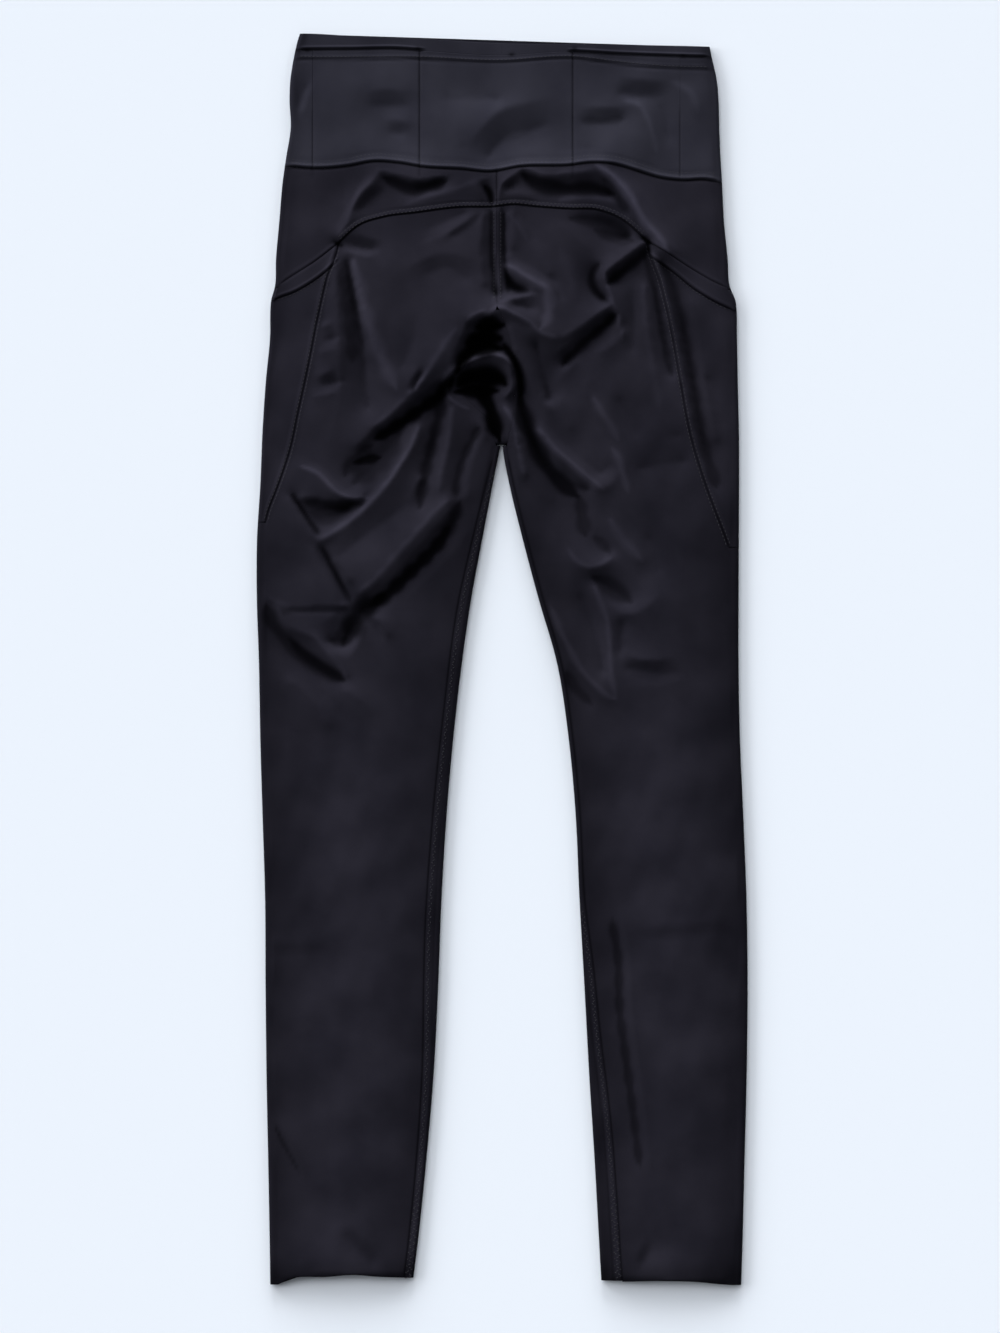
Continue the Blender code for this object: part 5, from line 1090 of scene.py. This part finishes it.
def side_rows(side, low_y, high_y, level, gaps=(1.0, 1.0)):
    """The heights at a side fold between two seams, and where the fold is at each."""
    bottom = low_y + gaps[0] * SEAM_GAP / 2
    top = high_y - gaps[1] * SEAM_GAP / 2
    y = bottom + (top - bottom) * level
    return OUTER[side](y), y


def front_line(name):
    """A seam across the front, straight from one side fold to the other."""
    ends = [(float(OUTER[side](data[name])), data[name]) for side, data in SIDES.items()]
    return straight(*ends)


def band_sheet(low, high, marked, level, cuts, gaps):
    """A band from a back seam over the left side, along the front and back over the right."""
    left_x, left_y = side_rows("left", SIDES["left"][marked[0]], SIDES["left"][marked[1]],
                               level, gaps)
    right_x, right_y = side_rows("right", SIDES["right"][marked[0]], SIDES["right"][marked[1]],
                                 level, gaps)
    left_tangent, right_tangent = left_x + FOLD_RADIUS, right_x - FOLD_RADIUS
    ones = np.ones(level.size)
    near = fractions(cuts[0] - left_tangent[0])
    x = spread(cuts[0] * ones, left_tangent, near)
    y = between(x, low, high, level, gaps)
    y = y + (left_y - y[:, -1])[:, None] * near ** 2
    left_back = back_sheet(x, y)
    even = evenly(2 * FRONT_COLUMNS)
    front = front_sheet(spread(left_tangent, right_tangent, even), spread(left_y, right_y, even))
    right_turn = turn_sheet(right_x, right_y, 1)[:, ::-1]
    near = fractions(right_tangent[0] - cuts[1])
    x = spread(right_tangent, cuts[1] * ones, near)
    y = between(x, low, high, level, gaps)
    y = y + (right_y - y[:, 0])[:, None] * near[::-1] ** 2
    right_back = back_sheet(x, y)
    return join(left_back, turn_sheet(left_x, left_y, -1), front, right_turn, right_back)


def make_waistband(finish):
    """The casing round the top, three back panels, and the front with both sides."""
    half = SEAM_GAP / 2
    level = evenly(CASING_ROWS)
    casing = band_sheet(casing_seam, top_edge, ("casing_y", "top_y"), level, (-half, half),
                        (1.0, 0.0))
    place_cloth("waistband_casing", rimmed(casing), finish)
    level = fractions(BAND_HEIGHT, BAND_STEP)
    front = band_sheet(waist_seam, casing_seam, ("waist_y", "casing_y"), level,
                       (WAIST_CUTS[0] - half, WAIST_CUTS[3] + half), (1.0, 1.0))
    place_cloth("waistband_front", rimmed(front), finish)
    for place, name in enumerate(("left", "centre", "right")):
        left, right = WAIST_CUTS[place] + half, WAIST_CUTS[place + 1] - half
        x = left + (right - left) * fractions(right - left)
        y = between(x, waist_seam, casing_seam, level)
        points = back_sheet(np.broadcast_to(x, y.shape), y)
        place_cloth("waistband_back_" + name, rimmed(points), finish)


def pocket_front_seam(side):
    """The pocket's and the yoke's seam on the front, straight from the tip to the waist."""
    data = SIDES[side]
    tip_x = data["pocket_seam"][0][1]
    return straight((data["tip_y"], tip_x), (data["waist_y"], data["front_seam_x"]))


def flank_front(side, low, high, side_x, side_y, level):
    """The part of a side piece that lies on the front, from the fold to its front seam."""
    sign = SIDES[side]["sign"]
    seam = pocket_front_seam(side)
    end_y = side_y
    for _ in range(SEARCH_STEPS[0]):
        end_x = seam(end_y) + sign * upright_gap(seam, end_y)
        bottom = side_y[0] if low is None else low(end_x[0]) + across_gap(low, end_x[0])
        top = high(end_x[-1]) - across_gap(high, end_x[-1])
        end_y = bottom + (top - bottom) * level
    even = evenly(FRONT_COLUMNS)
    x = spread(side_x - sign * FOLD_RADIUS, end_x, even)
    return front_sheet(x, bowed(x, spread(side_y, end_y, even), low, high, level))


def bowed(x, y, low, high, level):
    """Rows with their middles moved so that the end rows follow their seams."""
    top = high(x[-1]) - across_gap(high, x[-1]) - y[-1]
    top[0] = top[-1] = 0.0
    bottom = np.zeros(top.shape)
    if low is not None:
        bottom = low(x[0]) + across_gap(low, x[0]) - y[0]
        bottom[0] = bottom[-1] = 0.0
    return y + level[:, None] * top + (1 - level[:, None]) * bottom


def make_yoke(side, finish):
    """Half of the yoke: centre seam, seat seam, pocket opening, side fold and front seam."""
    data = SIDES[side]
    sign = data["sign"]
    opening = LINES[side]["opening"]
    level = fractions(YOKE_HEIGHT, YOKE_STEP)
    centre = CENTRE_SEAM_X + sign * SEAM_GAP / 2
    seat_x = centre + (data["junction"][0] - centre) * fractions(abs(data["junction"][0]))
    y = between(seat_x, yoke_seam, waist_seam, level)
    corner_y = y[:, -1].copy()
    back = back_sheet(np.broadcast_to(seat_x, y.shape), y)
    side_x, side_y = side_rows(side, data["opening_y"], data["waist_y"], level)
    start_x = np.full(level.size, data["junction"][0])
    near = fractions(FLANK_WIDTH)
    x = spread(start_x, side_x - sign * FOLD_RADIUS, near)
    y = between(x, opening, waist_seam, level)
    y[:, 0] = corner_y
    y = y + (side_y - y[:, -1])[:, None] * near ** 2
    flank = back_sheet(x, y)
    front = flank_front(side, opening, front_line("waist_y"), side_x, side_y, level)
    points = rimmed(join(back, flank, turn_sheet(side_x, side_y, sign), front))
    place_cloth("yoke_" + side, points, finish)


def pocket_sheet(side, low, high, seam_y, marked, width, rise):
    """A side piece between the pocket's back and front seams, with rows at these heights."""
    sign = SIDES[side]["sign"]
    seam = LINES[side]["pocket_seam"]
    level = (seam_y - seam_y[0]) / (seam_y[-1] - seam_y[0])
    side_x, side_y = side_rows(side, marked[0], marked[1], level)
    seam_x = seam(seam_y) + sign * upright_gap(seam, seam_y)
    near = fractions(width)
    x = spread(seam_x, side_x - sign * FOLD_RADIUS, near)
    y = bowed(x, spread(seam_y, side_y, near), low, high, level)
    front = flank_front(side, low, high, side_x, side_y, level)
    return join(back_sheet(x, y, rise), turn_sheet(side_x, side_y, sign, rise), front)


def seam_crossing(side, curve, direction):
    """Where the pocket's back seam meets a seam across, a seam gap above or below it."""
    x = SIDES[side]["junction"][0]
    for _ in range(SEARCH_STEPS[1]):
        y = curve(x) + direction * across_gap(curve, x)
        x = LINES[side]["pocket_seam"](y)
    return float(y)


def make_pocket(side, finish):
    """The pocket's outer panel and its hem band, both from back seam to front seam."""
    data = SIDES[side]
    opening, band = LINES[side]["opening"], LINES[side]["band"]
    seam_y = marks(data["tip_y"] + SEAM_GAP, (seam_crossing(side, band, -1), STEP))
    points = pocket_sheet(side, None, band, seam_y, (data["tip_y"] + SEAM_GAP / 2, data["band_y"]),
                          POCKET_WIDTH, 0.0)
    place_cloth("pocket_" + side, rimmed(points), finish)
    seam_y = marks(seam_crossing(side, band, 1),
                   (seam_crossing(side, opening, -1), POCKET_HEM_STEP))
    points = pocket_sheet(side, band, opening, seam_y, (data["band_y"], data["opening_y"]),
                          POCKET_HEM_WIDTH, HEM_RISE)
    place_cloth("pocket_hem_" + side, rimmed(points), finish)


def leg_heights(side):
    """Heights of the leg's rows, from the hem to the crotch."""
    return marks(HEM_Y, *((HEM_Y + above, step) for above, step in HEM_ROWS),
                 (KNEE_Y, SHIN_STEP), (SIDES[side]["tip_y"], STEP), (CROTCH_Y, STEP))


def seat_heights(top):
    """Rows above the crotch: along the gusset's seams, then up the centre seam to the top."""
    return marks(CROTCH_Y, (GUSSET_TIP_Y, STEP),
                 *((top - below, step) for below, step in YOKE_ROWS))[1:]


def leg_stretch(side, start_x, end_x, near):
    """Part of the leg below the crotch, with its lowest row on the hem."""
    heights = leg_heights(side)
    x = spread(start_x, end_x, near)
    fade = np.clip(1 - (heights - HEM_Y) / HEM_REACH, 0.0, 1.0)[:, None]
    return x, heights[:, None] + fade * (LINES[side]["hem"](x) - HEM_Y)


def seat_back(side, near):
    """The back above the crotch, between gusset and pocket, up to the yoke."""
    sign = SIDES[side]["sign"]
    gusset, seam = GUSSET_LINES["back_" + side], LINES[side]["pocket_seam"]
    centre = CENTRE_SEAM_X + sign * SEAM_GAP / 2
    top = float(yoke_seam(CENTRE_SEAM_X)) - SEAM_GAP / 2
    start_y = seat_heights(top)
    tip_x = gusset(GUSSET_TIP_Y) + sign * upright_gap(gusset, GUSSET_TIP_Y)
    rise = np.clip((start_y - GUSSET_TIP_Y) / TIP_CLOSE, 0.0, 1.0)
    start_x = np.where(start_y > GUSSET_TIP_Y, tip_x + (centre - tip_x) * rise,
                       gusset(start_y) + sign * upright_gap(gusset, start_y))
    level = (start_y - CROTCH_Y) / (top - CROTCH_Y)
    end_y = CROTCH_Y + (SIDES[side]["junction"][1] - SEAM_GAP - CROTCH_Y) * level
    end_x = seam(end_y) - sign * upright_gap(seam, end_y)
    x, y = spread(start_x, end_x, near), spread(start_y, end_y, near)
    bow = yoke_seam(x[-1]) - across_gap(yoke_seam, x[-1]) - y[-1]
    bow[-1] = 0.0
    return x, y + level[:, None] ** 2 * bow


def seat_front(side, even):
    """The front above the crotch, from its side seam to the centre front, up to the waist."""
    sign = SIDES[side]["sign"]
    gusset = GUSSET_LINES["front_" + side]
    seam = pocket_front_seam(side)
    waist = front_line("waist_y")
    centre = CENTRE_FRONT_X + sign * SEAM_GAP / 2
    top = float(yoke_seam(CENTRE_SEAM_X)) - SEAM_GAP / 2
    level = (seat_heights(top) - CROTCH_Y) / (top - CROTCH_Y)
    inner_y = CROTCH_Y + (float(waist(CENTRE_FRONT_X)) - SEAM_GAP / 2 - CROTCH_Y) * level
    inner_x = np.where(inner_y > GUSSET_TIP_Y, centre,
                       gusset(inner_y) + sign * upright_gap(gusset, inner_y))
    corner_y = float(waist(SIDES[side]["front_seam_x"])) - SEAM_GAP / 2
    outer_y = CROTCH_Y + (corner_y - CROTCH_Y) * level
    outer_x = seam(outer_y) - sign * upright_gap(seam, outer_y)
    return spread(outer_x, inner_x, even), spread(outer_y, inner_y, even)


def make_leg(side, finish):
    """One leg with its half of the seat and of the front, cut out for the pocket."""
    data = SIDES[side]
    sign = data["sign"]
    heights = leg_heights(side)
    back_seam, front_seam = LINES[side]["pocket_seam"], pocket_front_seam(side)
    outer_x, inner_x = OUTER[side](heights), INNER[side](heights)
    outer_tangent, inner_tangent = outer_x - sign * FOLD_RADIUS, inner_x + sign * FOLD_RADIUS
    inseam = inseam_line(side)(heights)
    above_tip = heights > data["tip_y"] - 1.0
    back_cut, front_cut = (
        np.where(above_tip, seam(heights) - sign * upright_gap(seam, heights),
                 outer_tangent - sign * TIP_WIDTH) for seam in (back_seam, front_seam))
    start = inseam + sign * SEAM_GAP / 2
    start[-1] = GUSSET_LINES["back_" + side](CROTCH_Y) + sign * SEAM_GAP / 2
    near, even = fractions(LEG_WIDTH), evenly(FRONT_COLUMNS)
    low_back, high_back = leg_stretch(side, start, back_cut, near), seat_back(side, near)
    low_front = leg_stretch(side, front_cut, inner_tangent, even)
    high_front = seat_front(side, even)
    back = back_sheet(*(np.concatenate(pair) for pair in zip(low_back, high_back)))
    front = front_sheet(*(np.concatenate(pair) for pair in zip(low_front, high_front)))

    hidden = len(high_back[0])
    outer_y = np.concatenate([low_front[1][:, 0], np.full(hidden, CROTCH_Y)])
    inner_y = np.concatenate([low_front[1][:, -1], np.full(hidden, CROTCH_Y)])
    outer_turn = turn_sheet(OUTER[side](outer_y), outer_y, sign)
    inner_turn = turn_sheet(INNER[side](inner_y), inner_y, -sign)[:, ::-1]
    strip_end = np.concatenate([inseam, np.full(hidden, inseam[-1])]) - sign * SEAM_GAP / 2
    x = spread(INNER[side](inner_y) + sign * FOLD_RADIUS, strip_end, evenly(INNER_CELLS))
    strip = back_sheet(x, inner_y[:, None] + 0 * x)
    brink = np.stack([OUTER[side](outer_y) - sign * FOLD_RADIUS, outer_y], -1)
    parts = evenly(BRINK_CELLS)
    back_brink = back_sheet(*(spread(back[:, -1, axis], brink[:, axis], parts)
                              for axis in (0, 1)))
    front_brink = front_sheet(*(spread(brink[:, axis], front[:, 0, axis], parts)
                                for axis in (0, 1)))
    points = join(back, back_brink, outer_turn, front_brink, front, inner_turn, strip)

    missing = np.zeros((points.shape[0] - 1, points.shape[1] - 1), bool)
    pocket_columns = slice(near.size - 1, near.size - 1 + TURN_STEPS + 2 * BRINK_CELLS)
    missing[np.searchsorted(heights, data["tip_y"] - 0.01):, pocket_columns] = True
    missing[heights.size - 1:, pocket_columns.stop + FRONT_COLUMNS:] = True
    points = rimmed(points, rows=(True, False), columns=(False, False))
    missing = np.concatenate([missing[:1] & False, missing])
    place_cloth("leg_" + side, points, finish, missing)


def gusset_places(face, y):
    """Places along X across one face of the gusset, a row for each height."""
    edges = []
    for side, data in SIDES.items():
        curve = GUSSET_LINES[face + "_" + side]
        edges.append(curve(y) - data["sign"] * upright_gap(curve, y))
    return spread(*edges, evenly(GUSSET_CELLS))


def make_gusset(finish):
    """The crotch piece: it lies on the back, turns under at the crotch and lies on the front."""
    low = CROTCH_Y + CROTCH_ROOM + FOLD_RADIUS
    y = np.append(marks(GUSSET_TIP_Y - SEAM_GAP, (low + 1, STEP)), low)
    x = gusset_places("back", y)
    back = back_sheet(x, y[:, None] + 0 * x)
    x = gusset_places("front", y)
    front = front_sheet(x, y[:, None] + 0 * x)
    turned = []
    for part in np.arange(1, TURN_STEPS) / TURN_STEPS:
        angle = math.pi * (0.5 - part)
        turn_y = np.array([low - FOLD_RADIUS * math.cos(angle)])
        x = gusset_places("back", turn_y) * (1 - part) + gusset_places("front", turn_y) * part
        height = FOLD_RADIUS * (1 + math.sin(angle))
        turned.append(np.stack([x, turn_y + 0 * x, height + 0 * x], -1))
    points = np.concatenate([back, *turned, front[::-1]])
    place_cloth("gusset", points, finish)


# The rows of stitches beside each kind of seam, as their distances from its line
STITCH_ROWS = {
    "waist": (3.4, 5.7), "casing_stitch": (1.8,), "yoke": (1.4, 3.4), "pocket": (-1.5, 1.5),
    "centre": (-2.2, 2.8), "opening": (-1.4,), "inseam": (2.8,),
}
STITCH = 2.3              # one stitch
STITCH_GAP = 0.7
STITCH_START = 0.5        # from the row's end to its first stitch
STITCH_PARTS = np.array([0.0, 0.25, 0.75, 1.0])   # where a stitch bends
STITCH_RISE = 0.05        # how high its middle lies on the cloth
STITCH_SINK = 0.2         # how far its ends go in
THREAD = 0.22             # half the thread's width
ROW_END = 2               # how far from its seam's ends a row ends
ROW_STEP = 0.5            # between points along a straight row
SIDE_ROOM = 4.0           # how far a row stays from a side fold
ZIGZAG = 1.3              # how far the inseam's stitches swing to each side
ZIGZAG_STEP = 2.4         # between their turns
ZIGZAG_ROOM = 1.5
ZIGZAG_WIDE_Y = -395.0    # from here down the swing grows to twice as much
ZIGZAG_GROWTH = 15.0


def seam_points(curve, upright, low, high, offset, step):
    """Points along a line beside a seam."""
    along = np.arange(low, high, step)
    slope = (curve(along + 1.0) - curve(along - 1.0)) / 2
    stretch = lengthening(curve, along)
    beside, shifted = curve(along) + offset / stretch, along - offset * slope / stretch
    return (beside, shifted) if upright else (shifted, beside)


def add_stitches(corner, faces, x, y):
    """Add a row of stitches along a line to these corners and faces."""
    length = np.concatenate([[0.0], np.cumsum(np.hypot(np.diff(x), np.diff(y)))])
    starts = np.arange(STITCH_START, length[-1] - STITCH, STITCH + STITCH_GAP)
    at = starts[:, None] + STITCH * STITCH_PARTS
    px, py = np.interp(at, length, x), np.interp(at, length, y)
    centre = np.stack([px, py, back_height(px, py) + STITCH_RISE], -1)
    ahead = centre[:, -1] - centre[:, 0]
    side = np.stack([-ahead[:, 1], ahead[:, 0], 0 * ahead[:, 0]], -1)
    side /= np.maximum(np.linalg.norm(side, axis=-1, keepdims=True), TINY)
    up = np.array([0.0, 0.0, 1.0])
    for place in range(starts.size):
        base = len(corner)
        corner.append(centre[place, 0] - STITCH_SINK * up)
        for ring in (1, 2):
            middle = centre[place, ring]
            corner += [middle + THREAD * side[place], middle + THREAD * up,
                       middle - THREAD * side[place], middle - THREAD * up]
        corner.append(centre[place, 3] - STITCH_SINK * up)
        for turn in range(4):
            after = (turn + 1) % 4
            faces += [(base, base + 1 + after, base + 1 + turn),
                      (base + 1 + turn, base + 1 + after, base + 5 + after, base + 5 + turn),
                      (base + 9, base + 5 + turn, base + 5 + after)]


def make_stitches(finish):
    """All the rows of topstitching, one object for each kind of seam."""
    rows = {}
    for form, curve, upright, low, high, sign in SEAMS:
        zigzag = form == "inseam"
        for offset in STITCH_ROWS.get(form, ()):
            x, y = seam_points(curve, upright, max(low, HEM_Y - 1) + ROW_END, high - ROW_END,
                               sign * offset, ZIGZAG_STEP if zigzag else ROW_STEP)
            inside = side_gap(x, y) > (ZIGZAG_ROOM if zigzag else SIDE_ROOM)
            if zigzag:
                swing = ZIGZAG * (1 + smooth_step((ZIGZAG_WIDE_Y - y) / ZIGZAG_GROWTH))
                x = x + swing * np.where(np.arange(x.size) % 2, 1.0, -1.0)
            add_stitches(*rows.setdefault(form, ([], [])), x[inside], y[inside])
    for form, (corner, faces) in rows.items():
        piece = smooth_object("stitches_" + form, np.array(corner), faces, finish)
        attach(piece, "root")


# The two knits: the darkest and the palest of their uneven dye, and how close their ribs are
KNITS = {
    "black_knit": ((0.0117, 0.0112, 0.0168), (0.0173, 0.0164, 0.0239), 900.0),
    "waistband_knit": ((0.0204, 0.0204, 0.0296), (0.0279, 0.0279, 0.0392), 1100.0),
}
DYE_SCALE, DYE_DETAIL = 22.0, 3.0
DYE_ENDS = (0.35, 0.68)   # where in its noise the dye is darkest and palest
KNIT_ROUGHNESS, ROUGHNESS_RANGE = 0.8, 0.06
ROUGHNESS_SCALE, ROUGHNESS_DETAIL = 60.0, 2.0
RIBS = (("X", 0.6), ("Y", 0.4))           # the two ways they run, and how strong each is
RIB_DISTORTION = 0.6
BUMP_STRENGTH, BUMP_DISTANCE = 0.25, 0.00008
SHEEN = (("Specular IOR Level", 0.005), ("Sheen Weight", 0.01), ("Sheen Roughness", 0.45),
         ("Sheen Tint", (0.85, 0.84, 1.0, 1.0)))
THREAD_COLOUR, THREAD_ROUGHNESS = (0.03, 0.03, 0.036), 0.5
FLOOR_COLOUR, FLOOR_ROUGHNESS = (0.785, 0.84, 0.92), 0.95
PLAIN_SPECULAR = 0.05


def new_material(name):
    """A material and its shader."""
    finish = bpy.data.materials.new(name)
    finish.use_nodes = True
    return finish, finish.node_tree.nodes["Principled BSDF"]


def add_node(tree, kind, inputs, **settings):
    """A node with its settings. Each of its inputs is a value, or another node's output."""
    node = tree.nodes.new(kind)
    for name, value in settings.items():
        setattr(node, name, value)
    for socket, value in inputs.items():
        if isinstance(value, bpy.types.NodeSocket):
            tree.links.new(value, node.inputs[socket])
        else:
            node.inputs[socket].default_value = value
    return node


def knit_material(name):
    """A fine stretch knit: uneven dye, a soft sheen and a small ribbed bump."""
    dark, light, rib_scale = KNITS[name]
    cloth, shader = new_material(name)
    tree = cloth.node_tree
    place = add_node(tree, "ShaderNodeTexCoord", {}).outputs["Object"]

    dye = add_node(tree, "ShaderNodeTexNoise", {
        "Vector": place, "Scale": DYE_SCALE, "Detail": DYE_DETAIL})
    ramp = add_node(tree, "ShaderNodeValToRGB", {"Fac": dye.outputs["Fac"]})
    for end, colour in enumerate((dark, light)):
        ramp.color_ramp.elements[end].position = DYE_ENDS[end]
        ramp.color_ramp.elements[end].color = (*colour, 1.0)
    # the painted shade and highlight darken and lighten the dye
    painted_light = add_node(tree, "ShaderNodeVertexColor", {}, layer_name="shade")
    mixed = add_node(tree, "ShaderNodeMix", {
        "Factor": 1.0, "A": ramp.outputs["Color"], "B": painted_light.outputs["Color"]},
        data_type="RGBA", blend_type="MULTIPLY")
    tree.links.new(mixed.outputs["Result"], shader.inputs["Base Color"])

    uneven = add_node(tree, "ShaderNodeTexNoise", {
        "Vector": place, "Scale": ROUGHNESS_SCALE, "Detail": ROUGHNESS_DETAIL})
    rough = add_node(tree, "ShaderNodeMapRange", {
        "Value": uneven.outputs["Fac"], "To Min": KNIT_ROUGHNESS - ROUGHNESS_RANGE,
        "To Max": KNIT_ROUGHNESS + ROUGHNESS_RANGE})
    tree.links.new(rough.outputs["Result"], shader.inputs["Roughness"])

    ribs = {}
    for socket, (axis, strength) in enumerate(RIBS):
        wave = add_node(tree, "ShaderNodeTexWave", {
            "Vector": place, "Scale": rib_scale, "Distortion": RIB_DISTORTION},
            bands_direction=axis)
        scaled = add_node(tree, "ShaderNodeMath", {0: wave.outputs["Fac"], 1: strength},
                          operation="MULTIPLY")
        ribs[socket] = scaled.outputs["Value"]
    height = add_node(tree, "ShaderNodeMath", ribs, operation="ADD")
    bump = add_node(tree, "ShaderNodeBump", {
        "Strength": BUMP_STRENGTH, "Distance": BUMP_DISTANCE, "Height": height.outputs["Value"]})
    tree.links.new(bump.outputs["Normal"], shader.inputs["Normal"])
    for socket, value in SHEEN:
        shader.inputs[socket].default_value = value
    return cloth


def plain_material(name, colour, roughness):
    """One colour, for the thread and the floor."""
    finish, shader = new_material(name)
    shader.inputs["Base Color"].default_value = (*colour, 1.0)
    shader.inputs["Roughness"].default_value = roughness
    shader.inputs["Specular IOR Level"].default_value = PLAIN_SPECULAR
    return finish


# The light of a wide window: strength, spread, and bearing from +Y and height, in degrees
LIGHTS = (
    ("window_west", 1.5, 26, -80, 21),
    ("window_corner", 2.1, 26, -42, 14),
    ("window_north", 3.2, 26, -2, 10.5),
    ("window_east", 1.15, 26, 34, 14),
    ("window_top", 1.15, 55, -25, 50),
)
SKY_COLOUR, SKY_STRENGTH = (0.96, 0.98, 1.0, 1.0), 0.19

# The floor and the camera, in metres
FLOOR_REACH, FLOOR_Z = 40, -0.0003
CAMERA_PLACE = (-0.001725, -0.00469, 5.0)
VIEW_HEIGHT = 0.99975     # how much of the floor the picture's height takes in
SENSOR = 24.0             # in millimetres
CLIP_END = 50.0


def make_stage():
    """The pale floor, the soft light and the camera straight above."""
    mesh = bpy.data.meshes.new("floor")
    mesh.from_pydata([(FLOOR_REACH * x, FLOOR_REACH * y, FLOOR_Z)
                      for x, y in ((-1, -1), (1, -1), (1, 1), (-1, 1))], [], [(0, 1, 2, 3)])
    mesh.materials.append(plain_material("floor_paper", FLOOR_COLOUR, FLOOR_ROUGHNESS))
    floor = in_scene("floor", mesh)

    world = bpy.data.worlds.new("studio")
    bpy.context.scene.world = world
    world.use_nodes = True
    sky = world.node_tree.nodes["Background"]
    sky.inputs["Color"].default_value = SKY_COLOUR
    sky.inputs["Strength"].default_value = SKY_STRENGTH

    for name, strength, spread_angle, bearing, height in LIGHTS:
        light = bpy.data.lights.new(name, "SUN")
        light.energy = strength
        light.angle = math.radians(spread_angle)
        bearing, height = math.radians(bearing), math.radians(height)
        towards = Vector((math.sin(bearing) * math.cos(height),
                          math.cos(bearing) * math.cos(height), math.sin(height)))
        in_scene(name, light).rotation_euler = towards.to_track_quat("Z", "Y").to_euler()

    lens = bpy.data.cameras.new("camera")
    camera = in_scene("camera", lens)
    lens.sensor_fit = "VERTICAL"
    lens.sensor_height = SENSOR
    lens.lens = SENSOR * CAMERA_PLACE[2] / VIEW_HEIGHT
    lens.clip_end = CLIP_END
    camera.location = CAMERA_PLACE
    camera.rotation_euler = (0.0, 0.0, 0.0)
    bpy.context.scene.camera = camera
    bpy.context.scene.view_settings.view_transform = "Standard"


make_stage()
black_knit = knit_material("black_knit")
band_knit = knit_material("waistband_knit")
thread = plain_material("thread", THREAD_COLOUR, THREAD_ROUGHNESS)
make_waistband(band_knit)
for leg_side in SIDES:
    make_yoke(leg_side, black_knit)
    make_pocket(leg_side, black_knit)
    make_leg(leg_side, black_knit)
make_gusset(black_knit)
make_stitches(thread)
